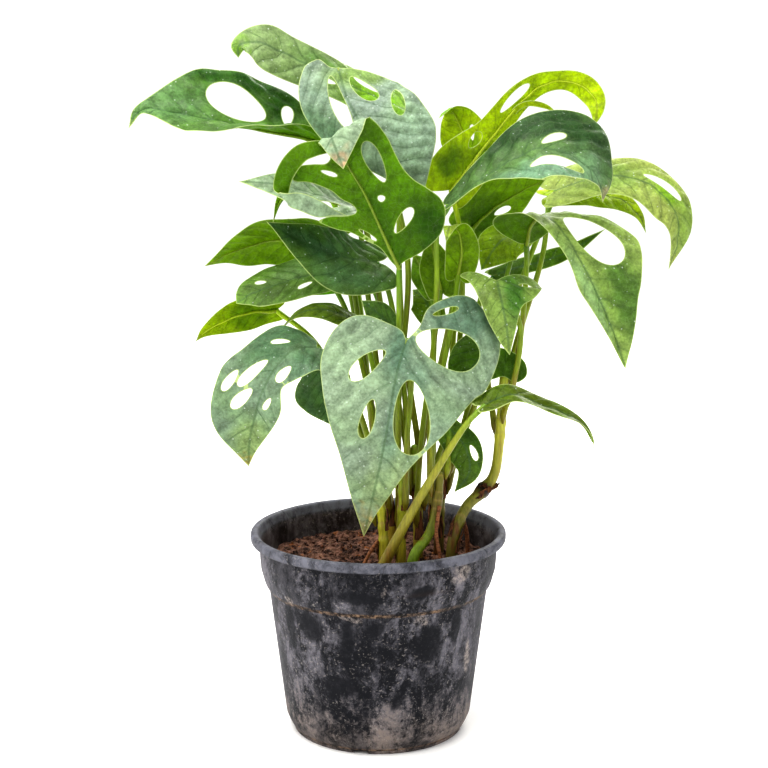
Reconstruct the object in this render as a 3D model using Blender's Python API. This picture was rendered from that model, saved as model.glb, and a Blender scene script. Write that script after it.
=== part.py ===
"""Swiss cheese plant (Monstera adansonii), often sold as a philodendron, in a black nursery pot.

The origin is the middle of the pot's base, on the surface that the pot stands on. Sizes are in
millimetres, and each mesh is written in metres. The front of the plant looks towards -Y.
"""
import math

import bmesh
import bpy
import numpy as np
from mathutils import Vector
from mathutils.geometry import delaunay_2d_cdt

MM = 0.001

# The pot, of the 3 litre size
POT_HEIGHT = 152.0
RIM_RADIUS = 95.0
MOUTH_RADIUS = 89.1
LIP_HEIGHT = 7.4
COLLAR_RADIUS = 88.2
COLLAR_FOOT_RADIUS = 84.6
COLLAR_FOOT = 113.0
WALL_TOP_RADIUS = 81.4
WALL_FOOT_RADIUS = 69.6
WALL_FOOT = 13.0
FOOT_RADIUS = 64.0
FOOT_HEIGHT = 3.2
FOOT_WIDTH = 8.0
HUB_RADIUS = 40.0
WALL = 1.8
FLOOR = 2.0
NOTCH_COUNT = 4
NOTCH_WIDTH = 11.0
NOTCH_HEIGHT = 2.4
NOTCH_BEARING = -101.0
DRAIN_COUNT = 6
DRAIN_RADIUS = 4.0
DRAIN_RING = 48.0
POT_SIDES = 36

# The soil, and the holes that the stems stand in
SOIL_LEVEL = 127.0
SOIL_BUMP = 1.6
HOLE_FOOT = 102.0
SOIL_SIDES = 36
GAP = 0.3
HOLE_PLAY = 0.5
HOLE_SIDES = 8

# The blades, their ribs and their stalks
BLADE = 0.9
EDGE_STEP = 13.5
HOLE_STEP = 10.0
INNER_STEP = 19.0
CREASE_STEP = 7.0
STALK_FOOT_RADIUS = 2.6
STALK_TOP_RADIUS = 1.9
RIB_RADIUS = 1.5
RIB_TIP_RADIUS = 0.4
RIB_REACH = 0.45
STALK_SIDES = 5
STALK_STEP = 22.0
CANE_SIDES = 7
ROOT_SIDES = 5
NODE_SWELL = 1.1

# Each cane: its middle line from the bottom of its hole up, and its radius at the foot and at the top
CANES = {
    "cane_left": dict(
        line=[(4, -26, 102), (4, -26, 129), (4, -26, 152), (2, -23, 176), (0, -20, 198)],
        radii=(3.7, 2.8)),
    "cane_front": dict(
        line=[(17, -18, 102), (17, -18, 129), (17, -19, 155), (18, -21, 182), (18, -24, 206)],
        radii=(3.9, 2.9)),
    "cane_fork": dict(
        line=[(24, -42, 102), (24, -42, 129), (27, -40, 144), (37, -34, 157), (43, -30, 178), (45, -26, 202)],
        radii=(4.0, 2.9)),
    "cane_middle": dict(
        line=[(30, 8, 102), (30, 8, 129), (30, 8, 160), (28, 8, 190), (27, 9, 214)],
        radii=(3.8, 2.8)),
    "cane_rear": dict(
        line=[(46, 20, 102), (46, 20, 129), (47, 21, 160), (49, 22, 190), (51, 24, 212)],
        radii=(3.8, 2.8)),
    "cane_far": dict(
        line=[(10, 16, 102), (10, 16, 129), (9, 17, 160), (6, 19, 188), (4, 21, 208)],
        radii=(3.6, 2.7)),
    "cane_right": dict(
        line=[(54, -14, 102), (54, -14, 129), (57, -12, 152), (66, -4, 170), (79, 3, 181), (87, 5, 194),
              (90, 5, 218), (92, 4, 249), (93, 4, 268)],
        radii=(4.2, 3.4)),
}

# Each aerial root: the cane that it leaves, the height and the bearing there, and its line to its hole
ROOTS = {
    "root_left": dict(cane="cane_left", height=150, bearing=200, radii=(1.6, 1.2),
                      line=[(-7, -33, 141), (-12, -38, 130), (-12, -38, 121), (-12, -38, 112)]),
    "root_middle": dict(cane="cane_fork", height=178, bearing=290, radii=(1.5, 1.2),
                        line=[(42, -43, 160), (45, -46, 142), (46, -46, 126), (46, -46, 112)]),
    "root_right": dict(cane="cane_right", height=160, bearing=60, radii=(1.9, 1.5),
                       line=[(66, 2, 148), (67, 4, 136), (67, 4, 124), (67, 4, 110)]),
}

# Each leaf. The midrib runs from the stalk to the tip. The face points out of the upper side, from the
# base to the tip. Left and right are the leaf's own, seen from above with its tip ahead: a width, or
# the margin as points of length along the midrib and width. Fold tilts each half up, and curl turns
# its margin down, both in degrees, as one value or as values from the base to the tip. A hole runs from
# one end to the other, with its width last. Edge is the step along the margin of a finely cut leaf, and
# bends are the lengths along the midrib that get a row of points, where the leaf turns over. A strap is
# a long narrow lobe with its own middle line, which leaves the blade and turns its other side out.
LEAVES = {
    "leaf_front": dict(
        cane="cane_front", height=172, bearing=-70,
        stalk=[(21, -31, 225), (24, -36, 268), (23, -46, 298)],
        midrib=[(20, -60, 304), (13, -75, 282), (7, -82, 248), (1, -78, 216), (-10, -62, 163)],
        face=[(0, -0.9, 0.4), (0, -1, 0.05), (0, -1, 0)],
        left=[(-13, 6), (-30, 9), (-45, 24), (-48, 37), (-41, 49), (-32, 60), (-16, 67), (4, 66), (28, 60),
              (57, 45), (91, 22), (117, 11), (133, 5)],
        right=[(-6, 5), (-9, 16), (-11, 31), (-6, 43), (6, 51), (25, 54), (42, 50), (65, 42), (91, 29),
               (122, 15), (138, 7)],
        fold=(-8, 4), curl=(10, 18),
        holes=[(13, -12, 36, -31, 12), (47, -13, 75, -16, 9.5), (29, 10, 82, 21, 25), (-4, 6, -6, 53, 28),
               (-25, 13, -37, 29, 4.5)]),
    "leaf_upright": dict(
        cane="cane_front", height=186, bearing=120,
        stalk=[(15, -30, 250), (15, -42, 311)],
        midrib=[(15, -45, 352), (5, -49, 374), (-8, -54, 403), (-20, -58, 424), (-27, -61, 437),
                (-31, -65, 444), (-31, -71, 444), (-28, -74, 436), (-23, -75, 423)],
        face=[(0, 1, 0.1)] * 14 + [(-0.1, 1, 0.2), (-0.2, 0.9, 0.4), (-0.5, 0.1, 0.9), (-0.2, -0.9, 0.3),
                                   (-0.1, -1, 0.1), (0, -1, 0), (0, -1, 0)],
        left=[(3, 4), (5, 20), (12, 37), (25, 46), (36, 47), (45, 42), (54, 35), (62, 32), (71, 32),
              (84, 33), (94, 32), (102, 30), (108, 28), (113, 24), (125, 11)],
        right=[(7, 3), (19, 6), (28, 13), (37, 20), (43, 28), (51, 35), (56, 37), (55, 29), (50, 19),
               (49, 11), (55, 11), (63, 16), (72, 19), (80, 25), (85, 31), (89, 38), (94, 36), (97, 29),
               (94, 21), (90, 13), (92, 8), (97, 8), (103, 10), (108, 10), (113, 9), (125, 5)],
        fold=(0, (4, 8, 4, 0)), curl=((16, 12, 4, 0), (16, 16, 4, 0)), edge=9,
        bends=(99, 103, 107, 111, 115),
        holes=[(60, 16, 91, 18, 11), (49, 8, 53, 10, 5), (25, 8, 37, 26, 8), (87, -18, 79, -10, 3),
               (37, -14, 25, -6, 2.5)],
        straps=[dict(
            midrib=[(-30, -60, 437), (-37, -63, 437), (-44, -63, 436), (-52, -62, 433), (-59, -61, 426),
                    (-64, -60, 417), (-66, -60, 408), (-65, -63, 404), (-61, -67, 402), (-51, -67, 400),
                    (-38, -64, 395), (-20, -49, 389)],
            face=[(0, 1, 0)] * 10 + [(-0.7, 0.5, -0.5), (-0.8, -0.3, -0.5), (-0.2, -1, -0.1)]
            + [(0, -1, 0.1)] * 8,
            left=[(1, 3), (14, 5.5), (32, 6.5), (48, 6), (62, 5), (74, 6), (88, 5), (100, 2)],
            right=[(1, 3), (14, 5.5), (32, 6.5), (48, 6), (62, 5), (74, 6), (88, 6), (100, 2)],
            fold=(0, 0), curl=(6, 6), edge=6)]),
    "leaf_far_left": dict(
        cane="cane_far", height=196, bearing=60,
        stalk=[(5, 28, 290), (-8, 24, 370), (-26, 16, 420)],
        midrib=[(-40, 12, 437), (-62, 10, 443), (-94, 6, 448), (-127, 2, 455), (-166, -4, 461),
                (-177, -8, 448)],
        face=[(0.1, -0.5, 0.85), (0, -0.5, 0.85), (0, -0.5, 0.85), (0, -0.5, 0.85)],
        left=[(-4, 8), (8, 20), (30, 28), (60, 31), (89, 33), (103, 29), (120, 16), (135, 5)],
        right=[(2, 5), (8, 14), (15, 25), (25, 37), (39, 46), (57, 50), (81, 46), (95, 43), (111, 29),
               (130, 7)],
        fold=((60, 40, 12, 12), (14, 20, 24, 20)), curl=(4, 8),
        holes=[(43, -11, 87, -28, 28), (27, -7, 28, -26, 8)]),
    "leaf_crown_left": dict(
        cane="cane_middle", height=202, bearing=60,
        stalk=[(18, 40, 300), (16, 50, 390), (20, 46, 436)],
        midrib=[(20, 40, 460), (-6, 36, 471), (-31, 28, 483), (-62, 20, 498), (-86, 14, 508), (-99, 12, 506),
                (-100, 12, 497)],
        face=[(0, -0.5, 0.9), (0, -0.8, 0.6), (0, -0.8, 0.6)],
        left=[(-6, 6), (-10, 14), (20, 22), (60, 18), (98, 20), (116, 18), (132, 8)],
        right=[(-6, 6), (-10, 14), (20, 22), (60, 17), (95, 16), (114, 18), (130, 9)],
        fold=(0, 4), curl=(12, 12),
        holes=[(20, -7, 44, -11, 8), (56, 5, 74, 7, 5)]),
    "leaf_crown_centre": dict(
        cane="cane_far", height=178, bearing=20,
        stalk=[(15, 13, 250), (22, 16, 350), (2, 8, 430), (-22, 4, 474)],
        midrib=[(-28, -8, 490), (-22, -20, 471), (-13, -29, 454), (-1, -34, 438), (15, -33, 421),
                (33, -28, 406)],
        face=[(0.1, -0.8, 0.6), (0, -1, 0.3), (0, -1, 0.1), (0, -1, 0)],
        left=[(1, 5), (3, 12), (7, 23), (14, 33), (27, 40), (45, 43), (67, 44), (84, 41), (95, 34),
              (101, 25), (107, 12)],
        right=[(-2, 6), (-9, 11), (-9, 16), (-6, 23), (4, 29), (14, 32), (24, 33), (36, 31), (47, 28),
               (60, 22), (80, 14), (100, 7)],
        fold=(0, 6), curl=(16, 20),
        holes=[(6, -7, 47, -8, 10), (9, 7, 35, 19, 12), (32, 34, 60, 27, 9)]),
    "leaf_left_mid": dict(
        cane="cane_far", height=160, bearing=270,
        stalk=[(2, 7, 250), (-8, 22, 330), (-14, 20, 380)],
        midrib=[(-18, -6, 393), (-41, -20, 401), (-68, -30, 409), (-97, -34, 412)],
        face=[(0, -0.5, 0.85), (0, -0.6, 0.8), (0, -0.6, 0.8)],
        left=24, right=22, lobe=10, widest=28, fold=(6, 6), curl=(14, 14),
        holes=[(14, 6, 34, 12, 7)]),
    "leaf_left_dark": dict(
        cane="cane_middle", height=176, bearing=220,
        stalk=[(20, 2, 250), (10, 8, 320)],
        midrib=[(0, 8, 351), (-24, -6, 356), (-52, -16, 369), (-79, -22, 383)],
        face=[(0, -0.7, 0.7), (0, -0.8, 0.6), (0, -0.7, 0.7)],
        left=31, right=24, lobe=12, widest=26, fold=(4, 4), curl=(16, 16)),
    "leaf_left_far": dict(
        cane="cane_far", height=188, bearing=170,
        stalk=[(-9, 28, 260), (-22, 40, 330)],
        midrib=[(-30, 45, 365), (-59, 46, 365), (-85, 46, 362), (-110, 44, 354), (-130, 40, 344)],
        face=[(0, 0.6, 0.8), (0, 0.8, 0.6), (0, 0.7, 0.7), (0, 0.6, 0.8)],
        left=[(-10, 8), (-8, 18), (16, 24), (34, 22), (52, 27), (70, 22), (88, 9)],
        right=[(-10, 8), (-8, 18), (18, 22), (40, 26), (60, 22), (76, 18), (90, 8)],
        fold=(0, 0), curl=(16, 16)),
    "leaf_left_low": dict(
        cane="cane_left", height=190, bearing=110,
        stalk=[(-6, 0, 250), (-22, 14, 310)],
        midrib=[(-39, 20, 343), (-57, 17, 339), (-76, 14, 333), (-93, 12, 327), (-104, 10, 320)],
        face=[(0, -0.6, 0.8), (0, -0.5, 0.85), (0, -0.6, 0.8)],
        left=[(-8, 6), (-12, 15), (2, 21), (20, 22), (40, 21), (56, 15), (65, 7)],
        right=[(-8, 6), (-12, 15), (2, 22), (22, 23), (42, 22), (57, 16), (66, 8)],
        fold=(4, 4), curl=(14, 14),
        holes=[(12, 9, 24, 12, 4), (44, -6, 52, -9, 4)]),
    "leaf_left_inner": dict(
        cane="cane_middle", height=190, bearing=130,
        stalk=[(14, 30, 250), (2, 44, 310)],
        midrib=[(-8, 50, 337), (-33, 58, 329), (-60, 64, 318)],
        face=[(0, 0.7, 0.7), (0, 0.7, 0.7)],
        left=14, right=14, lobe=6, widest=18, fold=(0, 0), curl=(16, 16)),
    "leaf_left_back": dict(
        cane="cane_far", height=170, bearing=135,
        stalk=[(-7, 46, 250), (-15, 66, 320)],
        midrib=[(-24, 74, 352), (-50, 76, 354), (-88, 72, 342)],
        face=[(0, -0.5, 0.85), (0, -0.5, 0.85)],
        left=18, right=18, lobe=8, widest=26, fold=(4, 4), curl=(14, 14),
        holes=[(22, 6, 40, 8, 9), (14, -7, 30, -9, 6)]),
    "leaf_arching": dict(
        cane="cane_left", height=172, bearing=60,
        stalk=[(4, -12, 230), (-6, -4, 286)],
        midrib=[(-16, 0, 308), (-35, -6, 317), (-56, -10, 316), (-73, -12, 303)],
        face=[(0, -0.5, 0.87), (0, -0.4, 0.9), (0, 0.2, 0.9)],
        left=12, right=14, lobe=6, widest=20, fold=(0, 0), curl=(20, 20)),
    "leaf_low_left": dict(
        cane="cane_left", height=182, bearing=230,
        stalk=[(-8, -27, 230), (-26, -32, 276)],
        midrib=[(-43, -34, 295), (-55, -43, 296), (-66, -50, 290), (-76, -54, 277), (-84, -54, 258),
                (-91, -46, 231), (-93, -36, 208)],
        face=[(0, -0.6, 0.8), (-0.2, -0.7, 0.7), (-0.3, -0.9, 0.4), (-0.1, -1, 0), (0, -1, -0.2)],
        left=[(-6, 5), (-12, 13), (-10, 23), (2, 26), (26, 25), (38, 19), (50, 13), (64, 18), (78, 16),
              (96, 10), (110, 4)],
        right=[(-2, 6), (4, 14), (10, 19), (16, 27), (28, 29), (40, 31), (56, 37), (79, 34), (95, 26),
               (108, 11)],
        fold=(4, 6), curl=(14, 14),
        holes=[(53, -24, 70, -29, 7), (38, -8, 62, -19, 8), (60, -8, 78, -18, 8), (32, 10, 47, 7, 7),
               (60, 8, 70, 5, 4), (18, -8, 27, -17, 4)]),
    "leaf_low_back": dict(
        cane="cane_left", height=160, bearing=160,
        stalk=[(-8, -16, 200), (-24, -8, 245)],
        midrib=[(-34, -6, 268), (-34, -12, 255), (-30, -16, 232)],
        face=[(-0.2, -0.9, 0.4), (0, -1, 0)],
        left=16, right=28, lobe=8, widest=12, fold=(0, 0), curl=(16, 16)),
    "leaf_right_small": dict(
        cane="cane_middle", height=164, bearing=340,
        stalk=[(50, 6, 220), (72, -1, 270)],
        midrib=[(83, -6, 290), (68, -8, 275), (57, -8, 253)],
        face=[(0, -0.8, 0.6), (0, -1, 0.2)],
        left=[(-5, 6), (-9, 16), (-9, 26), (-3, 33), (5, 31), (8, 22), (16, 18), (30, 12), (40, 4)],
        right=[(-6, 4), (-10, 10), (-4, 18), (12, 22), (28, 16), (38, 6)],
        fold=(0, 0), curl=(16, 16)),
    "leaf_right_hang": dict(
        cane="cane_right", height=232, bearing=280,
        stalk=[(98, -19, 264), (102, -24, 308)],
        midrib=[(84, -36, 343), (85, -44, 338), (87, -49, 329), (90, -50, 313), (93, -47, 291)],
        face=[(0, -0.8, 0.6), (0, -0.9, 0.4), (0, -1, 0.2), (0, -1, 0)],
        left=[(-4, 6), (-7, 14), (-6, 23), (-2, 29), (6, 32), (15, 30), (22, 23), (25, 15), (30, 11),
              (42, 6)],
        right=[(-4, 5), (-11, 12), (-14, 20), (-11, 25), (-4, 20), (6, 17), (16, 15), (32, 12), (48, 6)],
        fold=(-6, 0), curl=(14, 10), edge=9,
        holes=[(5, 15, 6, 24, 6)]),
    "leaf_right_narrow": dict(
        foot=(-1, -55), foot_radius=4.8,
        stalk=[(4, -56, 140), (23, -60, 178), (33, -63, 197), (48, -68, 224), (62, -72, 247)],
        midrib=[(75, -68, 260), (93, -62, 266), (118, -58, 257), (142, -54, 245), (153, -50, 230),
                (152, -48, 219)],
        face=[(0, -0.4, 0.9), (0, -0.4, 0.9), (0.5, -0.2, 0.8)],
        left=10, right=10, lobe=8, widest=24, fold=(14, 14), curl=(16, 16)),
    "leaf_low_curl": dict(
        cane="cane_fork", height=196, bearing=20,
        stalk=[(51, -16, 214)],
        midrib=[(53, -8, 230), (64, -14, 217), (67, -16, 199), (56, -14, 183)],
        face=[(0.2, -0.8, 0.5), (0, -1, 0), (0, -1, 0)],
        left=12, right=15, lobe=6, widest=18, fold=(0, 0), curl=(24, 24),
        holes=[(18, 4, 29, 5, 4.5)]),
    "leaf_right_dark": dict(
        cane="cane_fork", height=184, bearing=200,
        stalk=[(38, -24, 250), (42, -26, 330), (42, -28, 376)],
        midrib=[(49, -34, 396), (78, -46, 419), (111, -56, 436), (138, -60, 428), (152, -57, 413),
                (155, -54, 399)],
        face=[(0, -0.5, 0.85), (0, -0.6, 0.8), (0.3, -0.6, 0.7), (0.8, -0.5, 0.2)],
        left=[(-4, 4), (0, 10), (14, 15), (34, 22), (53, 29), (72, 37), (86, 47), (100, 50), (116, 42),
              (128, 25), (136, 12)],
        right=[(-4, 4), (2, 6), (22, 5), (40, 10), (56, 21), (80, 33), (102, 28), (116, 14), (128, 5)],
        fold=(2, 8), curl=(8, 6),
        holes=[(79, 5, 91, 19, 7), (70, -17, 112, -9, 11)]),
    "leaf_right_top": dict(
        cane="cane_rear", height=196, bearing=280,
        stalk=[(58, 18, 260), (62, 12, 320), (60, 0, 370)],
        midrib=[(52, -2, 404), (72, 6, 429), (89, 10, 450), (102, 12, 465), (116, 12, 477), (131, 12, 481),
                (145, 8, 478), (154, 2, 470), (156, -3, 461), (154, -5, 449)],
        face=[(-0.4, 0.9, 0.2), (-0.4, 0.9, 0.2), (-0.2, 0.9, 0.4), (0.35, 0.9, 0.3)],
        left=[(-6, 8), (-4, 16), (20, 18), (46, 15), (62, 9), (82, 7), (100, 7), (118, 7), (134, 9),
              (150, 7)],
        right=[(-6, 6), (-12, 16), (-4, 27), (14, 29), (34, 22), (50, 16), (66, 15), (84, 14), (98, 11),
               (112, 8), (126, 9), (138, 9), (152, 6)],
        fold=(0, 0), curl=(10, 10), edge=11,
        holes=[(66, -7, 94, -6, 7), (20, 4, 36, 10, 8), (32, -9, 46, -9, 8)],
        straps=[dict(
            midrib=[(92, 15, 449), (96, 12.5, 456), (101, 10, 462), (109, 8, 465), (120, 6, 463),
                    (129, 4, 458)],
            face=[(-0.3, 0.9, 0.3), (0, 0.9, 0.4)],
            left=[(1, 2), (10, 2.4), (24, 2.2), (36, 2)], right=[(1, 2), (10, 2.4), (24, 2.2), (36, 2)],
            fold=(0, 0), curl=(4, 4), edge=6)]),
    "leaf_back_top": dict(
        cane="cane_rear", height=204, bearing=60,
        stalk=[(58, 44, 300), (72, 56, 375)],
        midrib=[(75, 48, 415), (66, 58, 438), (55, 60, 459), (45, 52, 453)],
        face=[(0.3, 0.6, 0.7), (0, 0.6, 0.8), (-0.6, -0.2, 0.8)],
        left=22, right=22, lobe=8, widest=26, fold=(0, 0), curl=(16, 16),
        holes=[(22, 6, 34, 10, 6)]),
    "leaf_right_far": dict(
        cane="cane_rear", height=186, bearing=340,
        stalk=[(78, 10, 260), (110, 12, 350)],
        midrib=[(131, 26, 402), (163, 26, 412), (192, 24, 409), (212, 20, 395), (221, 18, 373),
                (214, 18, 344)],
        face=[(0, -0.5, 0.85), (0.2, -0.6, 0.8), (0.6, -0.7, 0.4), (0.8, -0.6, 0)],
        left=24, right=22, lobe=10, widest=80, fold=(4, 4), curl=(14, 14),
        holes=[(64, 7, 94, 12, 8)]),
    "leaf_right_droop": dict(
        cane="cane_right", height=258, bearing=350,
        stalk=[(103, -4, 288), (106, -9, 324), (107, -11, 352)],
        midrib=[(106, -17, 367), (108, -28, 382), (116, -38, 389), (127, -50, 380), (140, -60, 359),
                (153, -64, 333), (165, -60, 306), (174, -52, 282)],
        face=[(-0.1, 0.9, 0.3), (0, 0.1, 1), (0.3, -0.7, 0.7), (0.4, -0.9, 0.4), (0.4, -0.9, 0.3),
              (0.4, -0.9, 0.2), (0.3, -0.9, 0)],
        left=[(0, 4), (5, 11), (12, 17), (22, 20), (42, 23), (56, 37), (80, 46), (92, 44), (104, 37),
              (113, 31), (121, 25), (134, 18), (146, 11), (156, 5)],
        right=[(-1, 4), (3, 12), (9, 21), (16, 27), (24, 26), (34, 19), (50, 12), (72, 10), (83, 11),
               (96, 14), (108, 12), (122, 9), (137, 6), (152, 3)],
        fold=((4, 4, 4, 12, 20, 22, 22), (6, 6, 6, 12, 20, 22, 22)),
        curl=((0, 4, 10, 10), (0, 6, 20, 20)),
        holes=[(44, 10, 92, 27, 25)]),
    "leaf_right_edge": dict(
        cane="cane_right", height=222, bearing=130,
        stalk=[(82, 24, 262), (76, 38, 314)],
        midrib=[(87, 40, 337), (107, 46, 343), (126, 52, 347), (147, 60, 354), (174, 72, 369)],
        face=[(0, -0.7, 0.7), (0, -0.8, 0.6), (0, -0.8, 0.6)],
        left=8, right=7, lobe=4, widest=40, fold=(4, 4), curl=(14, 14)),
    "leaf_right_mid": dict(
        cane="cane_right", height=246, bearing=70,
        stalk=[(103, 18, 290), (121, 22, 352)],
        midrib=[(128, 48, 396), (156, 52, 399), (181, 50, 393), (195, 48, 382), (201, 46, 368)],
        face=[(0, -0.4, 0.9), (0.2, -0.5, 0.8), (0.6, -0.5, 0.5)],
        left=16, right=18, lobe=8, widest=34, fold=(4, 4), curl=(14, 14)),
    "leaf_under_right": dict(
        cane="cane_middle", height=208, bearing=0,
        stalk=[(50, 16, 290), (62, 26, 350)],
        midrib=[(70, 35, 374), (86, 34, 389), (104, 32, 400), (123, 29, 409)],
        face=[(0, 0.7, 0.7), (0, 0.8, 0.6)],
        left=22, right=32, lobe=10, widest=24, fold=(0, 0), curl=(16, 16),
        holes=[(18, 6, 32, 9, 6)]),
    "leaf_mid_hang": dict(
        cane="cane_rear", height=172, bearing=30,
        stalk=[(68, 24, 240), (90, 20, 320)],
        midrib=[(102, 11, 371), (88, 7, 365), (75, 5, 345)],
        face=[(0, -0.5, 0.85), (0, -1, 0.2)],
        left=19, right=17, lobe=8, widest=14, fold=(0, 0), curl=(16, 16)),
    "leaf_small_tip": dict(
        cane="cane_fork", height=172, bearing=125,
        stalk=[(41, -16, 240), (54, -10, 310)],
        midrib=[(58, -10, 344), (60, -14, 362), (57, -18, 377), (51, -26, 380), (48, -32, 369)],
        face=[(0, 1, 0.2), (0, 0.9, 0.4), (0, -0.8, 0.5)],
        left=13, right=12, lobe=6, widest=18, fold=(0, 0), curl=(16, 16)),
    "leaf_mid_dark": dict(
        cane="cane_middle", height=152, bearing=260,
        stalk=[(32, -6, 220), (42, 0, 300)],
        midrib=[(46, 6, 330), (42, 12, 350), (38, 14, 371)],
        face=[(0, 1, 0.2), (0, 1, 0.2)],
        left=13, right=13, lobe=6, widest=16, fold=(0, 0), curl=(16, 16)),
    "leaf_slim": dict(
        cane="cane_rear", height=160, bearing=200,
        stalk=[(40, 22, 220), (42, 24, 290)],
        midrib=[(41, 24, 328), (34, 30, 341), (26, 34, 354)],
        face=[(0, 1, 0.3), (0, 1, 0.3)],
        left=12, right=11, lobe=6, widest=14, fold=(0, 0), curl=(16, 16)),
    "leaf_inner_left": dict(
        cane="cane_far", height=148, bearing=330,
        stalk=[(15, 5, 200), (13, -5, 270)],
        midrib=[(10, -14, 306), (0, -20, 317), (-12, -24, 327)],
        face=[(0, -0.8, 0.6), (0, -0.8, 0.6)],
        left=14, right=12, lobe=6, widest=10, fold=(0, 0), curl=(16, 16)),
    "leaf_inner_back": dict(
        cane="cane_rear", height=148, bearing=120,
        stalk=[(42, 36, 220), (42, 40, 280)],
        midrib=[(41, 42, 306), (35, 46, 318), (26, 50, 325)],
        face=[(0, -0.8, 0.6), (0, -0.8, 0.6)],
        left=13, right=13, lobe=6, widest=12, fold=(0, 0), curl=(16, 16)),
    "leaf_left_glow": dict(
        cane="cane_far", height=202, bearing=255,
        stalk=[(-6, 14, 250), (-18, 22, 330), (-26, 18, 376)],
        midrib=[(-34, 12, 400), (-53, 16, 407), (-66, 18, 404), (-73, 18, 394), (-77, 16, 378)],
        face=[(0, 0.5, 0.85), (-0.3, 0.6, 0.8), (-0.9, 0.4, 0.2)],
        left=7, right=9, lobe=4, widest=20, fold=(0, 0), curl=(16, 16)),
    "leaf_left_tip": dict(
        cane="cane_far", height=152, bearing=200,
        stalk=[(-12, 14, 220), (-44, 28, 284)],
        midrib=[(-76, 30, 313), (-98, 25, 311), (-115, 20, 305), (-128, 16, 298), (-135, 14, 291)],
        face=[(0, 0.8, 0.6), (0, 0.9, 0.4), (0, 0.9, 0.4)],
        left=15, right=15, lobe=6, widest=22, fold=(0, 0), curl=(14, 14)),
}


def clear_scene():
    for item in list(bpy.data.objects):
        bpy.data.objects.remove(item)


def material(name, colour, roughness):
    """A plain surface with the piece's colour, as linear red, green and blue."""
    made = bpy.data.materials.new(name)
    made.use_nodes = True
    surface = made.node_tree.nodes["Principled BSDF"]
    surface.inputs["Base Color"].default_value = (*colour, 1.0)
    surface.inputs["Roughness"].default_value = roughness
    surface.inputs["Metallic"].default_value = 0.0
    return made


def solid(name, points, faces):
    """An object from points in millimetres, with its faces turned to point out."""
    mesh = bpy.data.meshes.new(name)
    mesh.from_pydata([tuple(p) for p in np.asarray(points) * MM], [], [tuple(f) for f in faces])
    shape = bmesh.new()
    shape.from_mesh(mesh)
    bmesh.ops.recalc_face_normals(shape, faces=shape.faces)
    shape.to_mesh(mesh)
    shape.free()
    made = bpy.data.objects.new(name, mesh)
    bpy.context.scene.collection.objects.link(made)
    return made


def finish(piece, colour, roughness, crease=40.0):
    """Splits the faces into triangles, shades the piece smooth and gives it its own material."""
    shape = bmesh.new()
    shape.from_mesh(piece.data)
    bmesh.ops.remove_doubles(shape, verts=shape.verts, dist=1e-6)
    bmesh.ops.triangulate(shape, faces=shape.faces)
    shape.to_mesh(piece.data)
    shape.free()
    piece.data.shade_smooth()
    piece.data.set_sharp_from_angle(angle=math.radians(crease))
    piece.data.materials.clear()
    piece.data.materials.append(material(piece.name, colour, roughness))
    return piece


def combine(piece, others, operation):
    """Joins the other solids to the piece, or cuts them out of it, and removes them."""
    group = bpy.data.collections.new("operands")
    bpy.context.scene.collection.children.link(group)
    for other in others:
        bpy.context.scene.collection.objects.unlink(other)
        group.objects.link(other)
    step = piece.modifiers.new("combine", "BOOLEAN")
    step.operation = operation
    step.operand_type = "COLLECTION"
    step.collection = group
    step.solver = "EXACT"
    bpy.context.view_layer.update()
    graph = bpy.context.evaluated_depsgraph_get()
    result = bpy.data.meshes.new_from_object(piece.evaluated_get(graph))
    piece.modifiers.clear()
    piece.data = result
    for other in others:
        bpy.data.objects.remove(other)
    bpy.data.collections.remove(group)
    return piece


def turned(name, profile, sides):
    """A solid of revolution. The profile runs from the axis to the axis, as radius and height."""
    angle = np.arange(sides) * 2 * math.pi / sides
    ring = np.stack([np.cos(angle), np.sin(angle)], 1)
    points = [(0.0, 0.0, profile[0][1])]
    for radius, height in profile[1:-1]:
        points.extend((radius * x, radius * y, height) for x, y in ring)
    points.append((0.0, 0.0, profile[-1][1]))
    last = len(points) - 1
    rings = len(profile) - 2
    faces = []
    for j in range(sides):
        k = (j + 1) % sides
        faces.append((0, 1 + k, 1 + j))
        for i in range(rings - 1):
            low = 1 + i * sides
            high = low + sides
            faces.append((low + j, low + k, high + k, high + j))
        top = 1 + (rings - 1) * sides
        faces.append((top + j, top + k, last))
    return solid(name, points, faces)


def smooth_line(points, samples=10):
    """A smooth curve through the points: on each stretch a cubic that looks one point to each side."""
    p = np.asarray(points, float)
    p = np.vstack([2 * p[0] - p[1], p, 2 * p[-1] - p[-2]])
    u = np.arange(samples)[:, None] / samples
    line = []
    for i in range(1, len(p) - 2):
        a, b, c, d = p[i - 1:i + 3]
        line.append(b + 0.5 * u * (c - a + u * (2 * a - 5 * b + 4 * c - d + u * (3 * (b - c) + d - a))))
    line.append(p[-2:-1])
    return np.vstack(line)


def lengths_of(line):
    """The length along the line at each of its points."""
    steps = np.linalg.norm(np.diff(line, axis=0), axis=1)
    return np.concatenate([[0.0], np.cumsum(steps)])


def read_line(line, where):
    """Points of the line at the lengths asked for."""
    lengths = lengths_of(line)
    return np.stack([np.interp(where, lengths, line[:, i]) for i in range(line.shape[1])], -1)


def spaced(line, step):
    """The line again, with about one point for each step of its length."""
    total = lengths_of(line)[-1]
    count = max(2, int(round(total / step)) + 1)
    return read_line(line, np.linspace(0, total, count))


def unit(vectors):
    return vectors / np.linalg.norm(vectors, axis=-1, keepdims=True)


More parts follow.
